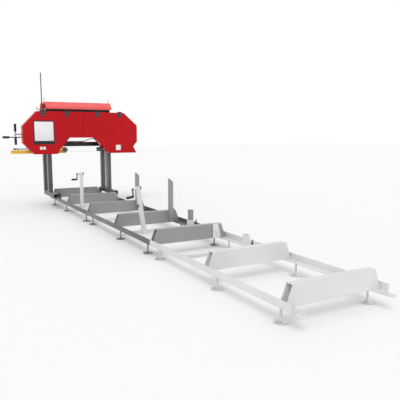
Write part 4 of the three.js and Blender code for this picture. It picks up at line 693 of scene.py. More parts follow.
def makeFoot():
    sizes = footSizes
    pad = addTurned(sizes["pad"], 40)
    height = sizes["screwLow"]
    thread = [(sizes["core"], height)]
    while height < sizes["screwHigh"]:
        thread += [(sizes["crest"], height + sizes["pitch"] * sizes["crestShare"]),
                   (sizes["core"], height + sizes["pitch"])]
        height += sizes["pitch"]
    screw = addTurned(thread, 16)
    nut = addBevel(addTurned(sizes["nut"], 6), sizes["nutEdge"])
    topNut = addBevel(addTurned(sizes["topNut"], 6), sizes["topNutEdge"])
    return joinPieces(pad, screw, nut, topNut)


def makeTongue():
    # a flat bar with a round, holed end that reaches past the section's near end
    sizes = railSizes
    top = sizes["bottom"] - sizes["tongueGap"]
    low = top - sizes["tongueSheet"]
    eye = sizes["near"] - sizes["tongueReach"] + sizes["tongueWidth"] / 2
    tongue = addRod((0, eye, low), (0, eye, top), sizes["tongueWidth"] / 2, 48)
    selectFaces(tongue, lambda middle, normal: normal.y > 0.02)    # the half that looks along the rail
    reach = sizes["near"] + sizes["tongueGrip"] - eye
    extrudeBy((0, reach, 0))
    bpy.ops.transform.resize(value=(1, 0, 1), center_override=(0, eye + reach, 0))
    leaveEdit()
    hole = addRod((0, eye, 0.06), (0, eye, 0.1), sizes["tongueHole"], 24)
    return addBevel(cutWith(tongue, hole), sizes["tongueEdge"])


def makeRail(footPlaces):
    sizes = railSizes
    near = sizes["near"]
    legInside = sizes["outer"] + sizes["legThickness"]
    rail = addBlock((sizes["outer"], near, sizes["bottom"]),
                    (sizes["inner"], near + sizes["length"], sizes["flangeTop"]))
    editAll(rail)
    bpy.ops.mesh.bisect(plane_co=(legInside, 0, 0), plane_no=(1, 0, 0))
    leaveEdit()
    selectFaces(rail, lambda middle, normal: normal.z > toolSizes["endFace"] and middle.x < legInside)
    extrudeBy((0, 0, sizes["top"] - sizes["flangeTop"]))
    leaveEdit()
    addBevel(rail, sizes["edge"])
    tongue = makeTongue()
    places = [(0, near + place, sizes["flangeTop"]) for place in sizes["boltPlaces"]]
    bolts = addBolts(places, "Z", *sizes["bolt"])
    feet = repeatAt(makeFoot(), [(0, near + place, 0) for place in footPlaces])
    return joinPieces(rail, tongue, *bolts), joinPieces(*feet)


def addRails():
    mirror = Matrix.Translation((2 * railSizes["middle"], 0, 0)) @ Matrix.Scale(-1, 4, (1, 0, 0))
    for number, ending in enumerate(("near", "middle", "far")):
        left, leftFeet = makeRail(railSizes["farFootPlaces"] if ending == "far" else railSizes["footPlaces"])
        for piece in (left, leftFeet):
            piece.data.transform(Matrix.Translation((0, number * railSizes["section"], 0)))
        right = copyPiece(left, mirror)
        rightFeet = copyPiece(leftFeet, mirror)
        for side, rail, feet in (("Left", left, leftFeet), ("Right", right, rightFeet)):
            label = side + ending.capitalize()
            node = "rail_" + side.lower() + "_" + ending
            # the middle and far rails take the darkened grey, painted shade on their grey paint
            finishPiece(rail, "rail" + label, "track", "paleSteel" if number == 0 else "railShadedGrey", node)
            finishPiece(feet, "feet" + label, "track", "paleZinc" if number == 0 else "zinc")


addRails()
print("rails and feet made")

# Doors: hinges over the straps, a bare framed plate and bare labels

doorSizes = {
    "front": 3.9835, "gap": 0.0001,
    "hingeMiddles": {"door_left": (-0.166, 0.100), "door_right": (0.451, 0.720)}, "hingeWidth": 0.0512,
    "hingeLow": 1.0368, "hingeHigh": 1.0905, "hingeFront": 3.9788, "hingeEdge": 0.0014, "knuckles": 3,
    "knuckleHeight": 1.0925, "knucklePlace": 3.9845, "knuckleRadius": 0.0057, "knuckleGap": 0.0003,
    "knuckleEdge": 0.0005, "boltAcross": 0.56, "boltLow": 0.013, "boltHigh": 0.017,
    "bolt": (0.0056, 0.0042), "plateLow": (-0.272, 0.725), "plateHigh": (-0.046, 0.984),
    "plateDepth": 0.003, "plateBorder": 0.011, "plateFoot": 0.038, "plateEdge": 0.0012, "fieldRise": 0.0008,
    "fieldDepth": 0.0006, "fieldEdge": 0.0004, "marks": ((-0.209, 0.667), (-0.175, 0.667)),
    "markSize": (0.027, 0.031), "label": (0.668, 0.650), "labelSize": (0.060, 0.060), "labelDepth": 0.0006,
    "labelGap": 0.00005, "labelEdge": 0.0002,
}


def makeHinge(middle):
    sizes = doorSizes
    half = sizes["hingeWidth"] / 2
    strap = addBlock((middle - half, sizes["hingeFront"], sizes["hingeLow"]),
                     (middle + half, sizes["front"] - sizes["gap"], sizes["hingeHigh"]))
    addBevel(strap, sizes["hingeEdge"], 3)
    step, gap = sizes["hingeWidth"] / sizes["knuckles"], sizes["knuckleGap"]
    start = (middle - half + gap, sizes["knucklePlace"], sizes["knuckleHeight"])
    knuckle = softRod(start, shifted(start, x=step - 2 * gap), sizes["knuckleRadius"], 28, sizes["knuckleEdge"])
    knuckles = repeatAt(knuckle, [(number * step, 0, 0) for number in range(sizes["knuckles"])])
    heights = (sizes["hingeLow"] + sizes["boltLow"], sizes["hingeHigh"] - sizes["boltHigh"])
    sides = (middle - half * sizes["boltAcross"], middle + half * sizes["boltAcross"])
    places = [(side, sizes["hingeFront"], height) for side in sides for height in heights]
    heads = addBolts(places, "-Y", *sizes["bolt"], False)
    return joinPieces(strap, *knuckles), heads


def makePlate():
    sizes = doorSizes
    (left, low), (right, high) = sizes["plateLow"], sizes["plateHigh"]
    front, border = sizes["front"] - sizes["plateDepth"], sizes["plateBorder"]
    back = softBlock((left, front, low), (right, sizes["front"] - sizes["gap"], high), sizes["plateEdge"], 3)
    field = softBlock((left + border, front - sizes["fieldRise"], low + sizes["plateFoot"]),
                      (right - border, front + sizes["fieldDepth"], high - border), sizes["fieldEdge"])
    return back, field


def makeLabel(left, low, size):
    sizes = doorSizes
    label = addBlock((left, sizes["front"] - sizes["labelDepth"], low),
                     (left + size[0], sizes["front"] - sizes["labelGap"], low + size[1]))
    return addBevel(label, sizes["labelEdge"], 1)


def addDoorParts():
    for node, middles in doorSizes["hingeMiddles"].items():
        side = "Left" if node == "door_left" else "Right"
        leaves, bolts = zip(*[makeHinge(middle) for middle in middles])
        finishPiece(joinPieces(*leaves), "hinges" + side, node, "blackPaint")
        finishPiece(joinPieces(*[head for heads in bolts for head in heads]), "hingeBolts" + side, node, "zinc")
    back, field = makePlate()
    finishPiece(back, "plateFrame", "door_left", "blackPaint")
    finishPiece(field, "plateField", "door_left", "whiteEnamel")
    marks = [makeLabel(left, low, doorSizes["markSize"]) for left, low in doorSizes["marks"]]
    finishPiece(joinPieces(*marks), "smallLabels", "door_left", "whiteEnamel")
    label = makeLabel(*doorSizes["label"], doorSizes["labelSize"])
    finishPiece(label, "squareLabel", "door_right", "whiteEnamel")


addDoorParts()
print("door parts made")

# Handles: blade tension, pushing, lifting

gripShape = {
    "foot": ((0.55, 0), (0.86, 0.0008), (0.98, 0.004), (1, 0.008)), "firstRing": 0.010, "pitch": 0.006,
    "ring": ((1, 0), (0.9, 0.0012), (0.9, 0.0026), (1, 0.0038)), "plainEnds": 0.022,
    "head": ((1, -0.006), (0.92, -0.002), (0.7, 0)), "sides": 32,
}
tensionSizes = {
    "centre": (-0.438, 4.130, 0.835), "length": 0.232, "gripLength": 0.086, "gripRadius": 0.014,
    "barInset": 0.07, "barRadius": 0.0065, "hub": drum(0.012, -0.012, 0.012, 0.0015, 0.0015),
    "plainEnd": -0.262, "plainRadius": 0.0078, "threadStart": -0.264, "threadEnd": -0.160,
    "threadRadius": 0.008, "pitch": 0.0025, "collar": drum(0.013, 0, 0.006, 0.001, 0.0008),
    "collarPlaces": (-0.2923, -0.2717),
}
pushSizes = {
    "end": (-0.554, 4.272, 0.802), "gripEnd": -0.483, "gripRadius": 0.014, "overlap": 0.004,
    "rodRadius": 0.006, "rodEdge": 0.0006, "plate": -0.2863, "plateSheet": 0.0062, "rodStop": 0.006,
    "gap": 0.0001, "plateEdge": 0.0016, "nut": (0.012, 0.008), "boltLow": 0.012, "boltSteps": (0, 0.026),
    "bolt": (0.0055, 0.004),
}
crankSizes = {
    "knobInset": 0.010, "halfWidth": 0.009, "thickness": 0.007, "edge": 0.0008, "hubInside": 0.010,
    "hub": ((0.0085, 0), (0.014, 0), (0.015, 0.001), (0.015, 0.011), (0.014, 0.012), (0.0085, 0.012)),
    "pinRadius": 0.004, "pinInset": 0.001,
    "knob": ((0.0055, 0.009), (0.0085, 0.0115), (0.009, 0.016), (0.0078, 0.026), (0.0072, 0.031),
             (0.0065, 0.0345), (0.004, 0.0365)),
}


def makeGrip(length, radius):
    # a moulded grip along Z with soft ends and shallow rings
    shape = gripShape
    steps = list(shape["foot"])
    for number in range(int((length - shape["plainEnds"]) / shape["pitch"])):
        height = shape["firstRing"] + number * shape["pitch"]
        steps += [(share, height + rise) for share, rise in shape["ring"]]
    steps += [(share, length + rise) for share, rise in shape["head"]]
    return addTurned([(radius * share, height) for share, height in steps], shape["sides"])


def addTensionHandle():
    sizes = tensionSizes
    centre = sizes["centre"]
    half, grip = sizes["length"] / 2, sizes["gripLength"]
    top = aim(makeGrip(grip, sizes["gripRadius"]), shifted(centre, z=half - grip))
    low = aim(makeGrip(grip, sizes["gripRadius"]), shifted(centre, z=grip - half), "-Z")
    finishPiece(joinPieces(top, low), "tensionGrips", "tension_handle", "blackRubber")
    reach = half - sizes["barInset"]
    bar = addRod(shifted(centre, z=-reach), shifted(centre, z=reach), sizes["barRadius"], 32)
    hub = turnedAt(centre, "X", sizes["hub"], 40)
    plain = addRod(centre, (sizes["plainEnd"], *centre[1:]), sizes["plainRadius"], 32)
    thread = makeThread(0, sizes["threadEnd"] - sizes["threadStart"], sizes["threadRadius"], sizes["pitch"])
    thread = aim(thread, (sizes["threadStart"], *centre[1:]), "X")
    collars = repeatAt(turnedAt((0, *centre[1:]), "X", sizes["collar"], 36),
                       [(left, 0, 0) for left in sizes["collarPlaces"]])
    screw = joinPieces(bar, hub, plain, thread, *collars)
    finishPiece(screw, "tensionScrew", "tension_handle", "brightSteel", "tension_handle")


def addPushHandle():
    sizes = pushSizes
    end, y, z = sizes["end"]
    grip = aim(makeGrip(sizes["gripEnd"] - end, sizes["gripRadius"]), sizes["end"], "X")
    finishPiece(grip, "pushGrip", "head", "blackRubber")
    rod = softRod((sizes["gripEnd"] - sizes["overlap"], y, z), (sizes["plate"] - sizes["rodStop"], y, z),
                  sizes["rodRadius"], 28, sizes["rodEdge"])
    low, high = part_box("push_handle")
    face = sizes["plate"] - sizes["plateSheet"]
    plate = softBlock((face, low.y + sizes["gap"], low.z), high, sizes["plateEdge"], 3)
    nut = addBolt((face, y, z), "-X", *sizes["nut"])
    places = [(face, y, low.z + sizes["boltLow"] + step) for step in sizes["boltSteps"]]
    heads = addBolts(places, "-X", *sizes["bolt"])
    finishPiece(joinPieces(rod, plate, nut, *heads), "pushRod", "head", "blackPaint", "push_handle")


def addLiftCrank():
    sizes = crankSizes
    low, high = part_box("lift_crank")
    middle = middleOf("spindle_left")
    place = (low.x + sizes["knobInset"], middle.y, low.z)
    hub = ringAt((middle.x, middle.y, low.z), "Z", sizes["hub"], 48)
    bar = addBlock(shifted(place, y=-sizes["halfWidth"]),
                   (middle.x - sizes["hubInside"], middle.y + sizes["halfWidth"], low.z + sizes["thickness"]))
    end = addRod(place, shifted(place, z=sizes["thickness"]), sizes["halfWidth"], 36)
    flat = addBevel(joinPieces(bar, end), sizes["edge"])
    pin = addRod(place, (*place[:2], high.z - sizes["pinInset"]), sizes["pinRadius"], 20)
    knob = turnedAt(place, "Z", sizes["knob"], 32)
    finishPiece(joinPieces(hub, flat, pin), "liftCrankArm", "spindle_left", "brightSteel", "lift_crank")
    finishPiece(knob, "liftCrankKnob", "spindle_left", "whiteEnamel")


addTensionHandle()
addPushHandle()
addLiftCrank()
print("handles made")

# Guide arm: yellow tube and head plate, steel pin, black rod with its knob

armSizes = {
    "left": -0.496, "tubeEnd": 0.058, "right": 0.106, "low": 0.622, "high": 0.660, "front": 4.093,
    "back": 4.107, "wall": 0.0025, "endWall": 0.005, "overlap": 0.0005, "edge": 0.0014, "plateBack": 4.103,
    "plateTop": 0.690, "rodY": 4.100, "rodHeight": 0.674, "rodStart": -0.468, "rodEnd": -0.286,
    "rodRadius": 0.005, "rodEdge": 0.0006, "postRadius": 0.0048, "posts": (-0.296, -0.424),
    "knobPlace": -0.472,
    "knob": ((0.004, 0), (0.0075, 0.001), (0.009, 0.005), (0.009, 0.015), (0.0078, 0.026),
             (0.0066, 0.034), (0.0056, 0.039)),
    "rollerX": 0.086, "rollerHeight": 0.661, "pin": (4.0167, 4.0955), "pinRadius": 0.006,
    "nutPlace": 4.0207, "nut": (0.010, 0.006), "collar": (4.0578, 4.0935), "collarRadius": 0.010,
    "collarEdge": 0.0008,
}
rollerSizes = {"bore": 0.0066, "radius": 0.02, "lip": 0.025}


def addGuideArm():
    sizes = armSizes
    wall, y, z = sizes["wall"], sizes["rodY"], sizes["rodHeight"]
    tube = addBlock((sizes["left"], sizes["front"], sizes["low"]),
                    (sizes["tubeEnd"], sizes["back"], sizes["high"]))
    hollow = addBlock((sizes["left"] - 0.01, sizes["front"] + wall, sizes["low"] + wall),
                      (sizes["tubeEnd"] - sizes["endWall"], sizes["back"] - wall, sizes["high"] - wall))
    tube = addBevel(cutWith(tube, hollow), sizes["edge"], 3)
    plate = softBlock((sizes["tubeEnd"] - sizes["overlap"], sizes["front"], sizes["low"]),
                      (sizes["right"], sizes["plateBack"], sizes["plateTop"]), sizes["edge"], 3)
    finishPiece(joinPieces(tube, plate), "guideArmTube", "guide_arm", "yellowPaint", "guide_arm")
    rod = softRod((sizes["rodStart"], y, z), (sizes["rodEnd"], y, z), sizes["rodRadius"], 24,
                  sizes["rodEdge"])
    posts = [addRod((x, y, sizes["high"]), (x, y, z), sizes["postRadius"], 24) for x in sizes["posts"]]
    finishPiece(joinPieces(rod, *posts), "guideArmRod", "guide_arm", "blackPaint")
    knob = turnedAt((sizes["knobPlace"], y, z), "X", sizes["knob"], 32)
    finishPiece(knob, "guideArmKnob", "guide_arm", "blackPlastic")
    x, z = sizes["rollerX"], sizes["rollerHeight"]
    pin = addRod(*[(x, end, z) for end in sizes["pin"]], sizes["pinRadius"], 24)
    nut = addBolt((x, sizes["nutPlace"], z), "-Y", *sizes["nut"], False)
    collar = softRod(*[(x, end, z) for end in sizes["collar"]], sizes["collarRadius"], 32,
                     sizes["collarEdge"])
    finishPiece(joinPieces(pin, nut, collar), "guideArmPin", "guide_arm", "darkSteel")


def addRollers():
    bore, radius, lip = rollerSizes["bore"], rollerSizes["radius"], rollerSizes["lip"]
    for side in ("left", "right"):
        node = "guide_roller_" + side
        low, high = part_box(node)
        middle = middleOf(node)
        depth = high.y - low.y
        ring = [(bore, 0), (radius - 0.0015, 0), (radius, 0.0012), (radius, depth - 0.0068),
                (radius + 0.0005, depth - 0.0062), (lip - 0.0005, depth - 0.0052), (lip, depth - 0.0045),
                (lip, depth - 0.0008), (lip - 0.0007, depth), (0.013, depth), (0.0125, depth - 0.0012),
                (bore, depth - 0.0012)]
        roller = ringAt((middle.x, low.y, middle.z), "Y", ring, 64)
        finishPiece(roller, "guideRoller" + side.capitalize(), node, "darkSteel", node)


addGuideArm()
addRollers()
print("blade guides made")

# Log clamps: crank and screw in steel, grip in rubber, and a small catch on the middle clamp's post

clampSizes = {
    "middle": {"place": (0.085, 1.766, 0.1053), "lean": -8},
    "far": {"place": (0.046, 3.296, 0.1053), "lean": 0}, "rise": 0.334, "thread": (-0.0385, 0.012),
    "threadRadius": 0.005, "pitch": 0.002, "hub": (-0.0483, -0.0383), "hubRadius": 0.0075,
    "hubEdge": 0.0008, "arm": (-0.0483, -0.0403), "armLength": 0.056, "armHalf": 0.007, "armEdge": 0.001,
    "rivet": ((0.0048, 0), (0.0046, 0.001), (0.003, 0.002)), "gripPlace": -0.0488, "gripLength": 0.0515,
    "gripRadius": 0.0098,
    "stem": ((0.0055, -0.0314), (0.0078, -0.0314), (0.008, -0.031), (0.008, 0.0155), (0.0055, 0.0155)),
    "disc": ((0.0128, 0.0153), (0.014, 0.0163), (0.014, 0.0223), (0.0132, 0.0233)),
    "tooth": (0.0226, 0.0282), "toothHalf": 0.0068, "toothHeights": ((-0.0068, -0.0066), (0.0033, 0.0100)),
    "toothTip": 0.12, "catchHalf": 0.009, "catchEdge": 0.0008, "catch": (-0.034, -0.0142, -0.128, -0.124),
    "tail": (-0.034, -0.030, -0.150, -0.1245), "screwPlace": (-0.0142, 0, -0.137), "screw": (0.0055, 0.004),
}


def leaned(piece, clamp):
    (x, y, z), lean = clamp["place"], math.radians(clamp["lean"])
    piece.rotation_euler = Euler((0, lean, 0))
    piece.location = (x + clampSizes["rise"] * math.sin(lean), y, z + clampSizes["rise"] * math.cos(lean))
    return applyPlace(piece)


def makeClampScrew():
    sizes = clampSizes
    (left, right), length, half = sizes["arm"], sizes["armLength"], sizes["armHalf"]
    screw = aim(makeThread(*sizes["thread"], sizes["threadRadius"], sizes["pitch"]), (0, 0, 0), "X")
    hub = softRod(*[(x, 0, 0) for x in sizes["hub"]], sizes["hubRadius"], 32, sizes["hubEdge"])
    arm = addBlock((left, -half, -length), (right, half, 0))
    foot = addRod((left, 0, -length), (right, 0, -length), half, 32)
    flat = addBevel(joinPieces(arm, foot), sizes["armEdge"])
    return joinPieces(screw, hub, flat, turnedAt((right, 0, -length), "X", sizes["rivet"], 24))


def makeClampPad():
    sizes = clampSizes
    stem = addRing(sizes["stem"], 40)
    disc = addTurned(sizes["disc"], 48)
    teeth = []
    for low, high in sizes["toothHeights"]:
        tooth = addBlock((sizes["tooth"][0], -sizes["toothHalf"], low),
                         (sizes["tooth"][1], sizes["toothHalf"], high))
        taper(tooth, (1, 1, sizes["toothTip"]))
        teeth.append(tooth)
    return joinPieces(aim(stem, (0, 0, 0), "X"), aim(disc, (0, 0, 0), "X"), *teeth)


def addClampParts():
    sizes = clampSizes
    for ending in ("middle", "far"):
        clamp, label = sizes[ending], ending.capitalize()
        crank, pad = "clamp_crank_" + ending, "clamp_pad_" + ending
        finishPiece(leaned(makeClampScrew(), clamp), "clampScrew" + label, crank, "darkSteel", crank)
        grip = aim(makeGrip(sizes["gripLength"], sizes["gripRadius"]),
                   (sizes["gripPlace"], 0, -sizes["armLength"]), "-X")
        finishPiece(leaned(grip, clamp), "clampGrip" + label, crank, "blackRubber")
        finishPiece(leaned(makeClampPad(), clamp), "clampPad" + label, pad, "darkSteel", pad)
    # the small catch on the near side of the middle clamp's post
    half = sizes["catchHalf"]
    plates = [softBlock((left, -half, low), (right, half, high), sizes["catchEdge"])
              for left, right, low, high in (sizes["catch"], sizes["tail"])]
    head = addBolt(sizes["screwPlace"], "-X", *sizes["screw"])
    catch = leaned(joinPieces(*plates, head), sizes["middle"])
    finishPiece(catch, "clampCatch", "clamp_post_middle", "darkSteel")


addClampParts()
print("clamp parts made")

# Roof and mast

roofSizes = {
    "left": -0.106, "right": 0.654, "sheet": 0.0025, "edge": 0.0009,
    "folds": ((4.4408, 1.101), (4.4408, 1.118), (4.381, 1.2008), (4.121, 1.2008), (4.0750, 1.1425),
              (4.0750, 1.1390)),
    "postMiddles": (-0.078, 0.626), "legWidth": 0.040, "legHalf": 0.0015, "legEdge": 0.0006,
    "legBottom": 1.1003, "legs": ((4.1215, 1.1975), (4.3855, 1.1935)), "shadeStripSheet": 0.003,
    # the strip sizes are for the dark strip of painted shade under the roof's lip
    "shadeStripTop": 1.142, "shadeStripBolts": 1.12, "bolt": (0.005, 0.0035), "lugPlace": 4.186, "lugHalf": 0.006,
    "lugLow": 1.2, "lugTop": 1.245, "lugSheet": 0.003, "lugHole": 0.003, "lugEdge": 0.0004,
}
mastSizes = {
    "inset": 0.010, "radius": 0.006, "tip": ((-0.0008, -0.001), (-0.003, 0)), "plateLow": 1.1003,
    "plateTop": 1.1053, "plateRight": -0.0555, "plateEdge": 0.0014,
    "socket": ((0.0095, 0), (0.01, 0.0006), (0.01, 0.0345), (0.0095, 0.035)), "setScrew": (-0.0098, 0.014),
    "set": (0.0042, 0.004), "bolt": (0.0042, 0.003), "boltX": -0.066, "boltSteps": (-0.0045, 0.0045),
}


def foldSheet(left, right, folds, thickness):
    # a sheet that runs from fold to fold, each fold a (y, z) place, and as wide as left to right
    deselectAll()
    bpy.ops.mesh.primitive_plane_add(size=1, location=(0, 0, 0))
    sheet = bpy.context.object
    mesh = sheet.data
    first, second = folds[:2]
    corners = [(left, first), (right, first), (left, second), (right, second)]
    for vertex, (x, (y, z)) in zip(mesh.vertices, corners):
        vertex.co = (x, y, z)
    for vertex in mesh.vertices:
        vertex.select = abs(vertex.co.y - second[0]) + abs(vertex.co.z - second[1]) < toolSizes["weld"]
    bpy.context.tool_settings.mesh_select_mode = (True, False, False)
    bpy.ops.object.mode_set(mode="EDIT")
    for before, after in zip(folds[1:], folds[2:]):
        extrudeBy((0, after[0] - before[0], after[1] - before[1]))
    closeEdit()
    if mesh.polygons[-2].normal.z < 0:
        mesh.flip_normals()
    applyModifier(sheet, "SOLIDIFY", thickness=thickness, offset=-1, use_even_offset=True)
    return sheet


def makeLug(outside, inward):
    # a small plate with a round top and a hole in it
    sizes = roofSizes
    y, top, half = sizes["lugPlace"], sizes["lugTop"], sizes["lugHalf"]
    left, right = sorted((outside, outside + inward * sizes["lugSheet"]))
    plate = addBlock((left, y - half, sizes["lugLow"]), (right, y + half, top))
    cap = addRod((left, y, top), (right, y, top), half, 32)
    lug = []
    for form in (plate, cap):
        hole = addRod((left - 0.01, y, top), (right + 0.01, y, top), sizes["lugHole"], 24)
        lug.append(addBevel(cutWith(form, hole), sizes["lugEdge"]))
    return lug


def addRoof():
    sizes = roofSizes
    half, bottom = sizes["legHalf"], sizes["legBottom"]
    cover = addBevel(foldSheet(sizes["left"], sizes["right"], sizes["folds"], sizes["sheet"]), sizes["edge"])
    legs = [softBlock((middle - sizes["legWidth"] / 2, place - half, bottom),
                      (middle + sizes["legWidth"] / 2, place + half, top), sizes["legEdge"])
            for middle in sizes["postMiddles"] for place, top in sizes["legs"]]
    # the roof sheet takes the pink red, painted light from the sky on the red paint
    finishPiece(joinPieces(cover, *legs), "roofSheet", "carriage", "roofSkyLitRed", "roof_cover")
    # a dark strip that joins the front legs, painted shade: it stands where only the shadow under the roof's
    # lip is seen
    left, right = sizes["postMiddles"]
    back = sizes["legs"][0][0] - half
    front = back - sizes["shadeStripSheet"]
    shadeStrip = softBlock((left - sizes["legWidth"] / 2, front, bottom),
                      (right + sizes["legWidth"] / 2, back, sizes["shadeStripTop"]), sizes["legEdge"])
    places = [(middle, front, sizes["shadeStripBolts"]) for middle in sizes["postMiddles"]]
    heads = addBolts(places, "-Y", *sizes["bolt"], False)
    finishPiece(joinPieces(shadeStrip, *heads), "roofShadeStrip", "carriage", "blackPaint")
    lugs = [*makeLug(sizes["left"], 1), *makeLug(sizes["right"], -1)]
    finishPiece(joinPieces(*lugs), "roofLugs", "carriage", "darkSteel")


def addMast():
    sizes = mastSizes
    low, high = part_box("mast")
    x, y, radius, tall = low.x + sizes["inset"], (low.y + high.y) / 2, sizes["radius"], high.z - low.z
    rod = addTurned([(radius - 0.0002, 0), (radius, 0.0005), (radius, tall - 0.003),
                     *[(radius + inset, tall + rise) for inset, rise in sizes["tip"]]], 32)
    socket = addTurned(sizes["socket"], 40)
    plate = softBlock((low.x, low.y, sizes["plateLow"]), (sizes["plateRight"], high.y, sizes["plateTop"]),
                      sizes["plateEdge"], 3)
    inset, rise = sizes["setScrew"]
    setScrew = addBolt((x + inset, y, low.z + rise), "-X", *sizes["set"], False)
    places = [(sizes["boltX"], y + step, sizes["plateTop"]) for step in sizes["boltSteps"]]
    heads = addBolts(places, "Z", *sizes["bolt"], False)
    whole = joinPieces(aim(rod, (x, y, low.z)), aim(socket, (x, y, low.z)), plate, setScrew, *heads)
    finishPiece(whole, "mastRod", "carriage", "postSteel", "mast")


addRoof()
addMast()
print("roof and mast made")

# Lifting gear: threaded spindles, sprockets and a roller chain

liftSizes = {
    "place": 4.251, "middles": {"left": -0.078, "right": 0.626}, "foot": 0.1753, "threadStart": 0.19,
    "threadEnd": 1.098, "threadRadius": 0.008, "pitch": 0.004, "plainRadius": 0.0078, "tipRadius": 0.007,
    "tips": {"left": 1.1303, "right": 1.118}, "tipEdge": 0.001, "collarRadius": 0.014, "collarHeight": 0.01,
    "collarEdge": 0.0008,
}
sprocketSizes = {
    "low": 1.1032, "high": 1.1078, "radius": 0.0325, "toothHeight": 0.004, "teeth": 18, "toothHalf": 0.0026,
    "toothTip": (1, 0.45, 0.6), "edge": 0.0005, "hubRadius": 0.015, "hubTop": 1.1132, "hubEdge": 0.0008,
}
chainSizes = {
    "links": 128, "radius": 0.0362, "low": 1.102, "high": 1.109, "sheet": 0.0008, "inset": 0.0009,
    "waist": 0.0017, "endRadius": 0.0029, "rollerRadius": 0.0023, "sides": 14,
}


def makeSpindle(side):
    sizes = liftSizes
    place = (sizes["middles"][side], sizes["place"], 0)
    radius, foot, end, tip = sizes["plainRadius"], sizes["foot"], sizes["threadEnd"], sizes["tips"][side]
    thread = aim(makeThread(sizes["threadStart"], end, sizes["threadRadius"], sizes["pitch"]), place)
    tips = [(radius, end), (radius, tip - sizes["tipEdge"]), (sizes["tipRadius"], tip)]
    top = turnedAt(place, "Z", tips, 28)
    bottom = turnedAt(place, "Z", [(radius, foot), (radius, sizes["threadStart"])], 28)
    edge = sizes["collarEdge"]
    ring = drum(sizes["collarRadius"], foot, foot + sizes["collarHeight"], edge, edge)
    collar = turnedAt(place, "Z", ring, 40)
    return joinPieces(thread, top, bottom, collar)


def makeSprocket(side):
    sizes = sprocketSizes
    low, high = sizes["low"], sizes["high"]
    root = sizes["radius"] - sizes["toothHeight"]
    disc = addBevel(addTurned([(root, low), (root, high)], 72), sizes["edge"])
    tooth = addBlock((root - 0.001, -sizes["toothHalf"], low), (sizes["radius"], sizes["toothHalf"], high))
    taper(tooth, sizes["toothTip"])
    teeth = repeat(tooth, [Matrix.Rotation(angle, 4, "Z") for angle in angles(sizes["teeth"])])
    hub = addTurned([(sizes["hubRadius"], high - 0.0005), (sizes["hubRadius"], sizes["hubTop"])], 48)
    hub = addBevel(hub, sizes["hubEdge"])
    return aim(joinPieces(disc, hub, *teeth), (liftSizes["middles"][side], liftSizes["place"], 0))


def chainPlaces(pitch, span):
    # evenly spaced places along the chain's loop, from the left sprocket's front
    left, right = liftSizes["middles"]["left"], liftSizes["middles"]["right"]
    y, radius = liftSizes["place"], chainSizes["radius"]
    turn = math.pi * radius
    for number in range(chainSizes["links"]):
        along = pitch * number
        if along < span:
            yield left + along, y - radius
        elif along < span + turn:
            angle = (along - span) / radius
            yield right + radius * math.sin(angle), y - radius * math.cos(angle)
        elif along < 2 * span + turn:
            yield right - (along - span - turn), y + radius
        else:
            angle = (along - 2 * span - turn) / radius
            yield left - radius * math.sin(angle), y + radius * math.cos(angle)


def makeLink(pitch, inset):
    # one link from its own pin to the next: two waisted plates, with a roller at the start
    sizes = chainSizes
    sheet, waist, sides = sizes["sheet"], sizes["waist"], sizes["sides"]
    parts = []
    for low in (sizes["low"] + inset, sizes["high"] - sheet - inset):
        bar = addBlock((0, -waist, low), (pitch, waist, low + sheet))
        ends = [addRod((x, 0, low), (x, 0, low + sheet), sizes["endRadius"], sides) for x in (0, pitch)]
        parts += [bar, *ends]
    roller = addRod((0, 0, sizes["low"] + sheet), (0, 0, sizes["high"] - sheet), sizes["rollerRadius"], sides)
    return joinPieces(*parts, roller)


def addChain():
    span = liftSizes["middles"]["right"] - liftSizes["middles"]["left"]
    pitch = 2 * (span + math.pi * chainSizes["radius"]) / chainSizes["links"]
    places = list(chainPlaces(pitch, span))
    masters = [makeLink(pitch, 0), makeLink(pitch, chainSizes["inset"])]
    links = []
    for number, (x, y) in enumerate(places):
        nextX, nextY = places[(number + 1) % len(places)]
        turn = Matrix.Rotation(math.atan2(nextY - y, nextX - x), 4, "Z")
        links.append(copyPiece(masters[number % 2], Matrix.Translation((x, y, 0)) @ turn))
    for master in masters:
        bpy.data.objects.remove(master)
    finishPiece(joinPieces(*links), "rollerChain", "carriage", "darkSteel", "lift_chain")


for side in ("left", "right"):
    spindle = joinPieces(makeSpindle(side), makeSprocket(side))
    finishPiece(spindle, "spindle" + side.capitalize(), "spindle_" + side, "brightSteel", "spindle_" + side)
addChain()
print("lifting gear made")

# Wheels

wheelSizes = {
    "radius": 0.1932, "tyre": 0.0022, "rim": 0.011, "halfWidth": 0.015, "halfWeb": 0.003, "hub": 0.030,
    "halfHub": 0.018, "bore": 0.0129, "holes": 5, "holeRadius": 0.033, "holePitch": 0.104, "place": 4.036,
    "height": 0.835, "edge": 0.0006, "edgeAngle": 50,
}
trackWheelSizes = {"radius": 0.038, "groove": 0.0299, "bore": 0.0083, "halfWidth": 0.01, "sunk": 0.0085}


def formName(node):
    first, *others = node.split("_")
    return first + "".join(part.capitalize() for part in others) + "Form"


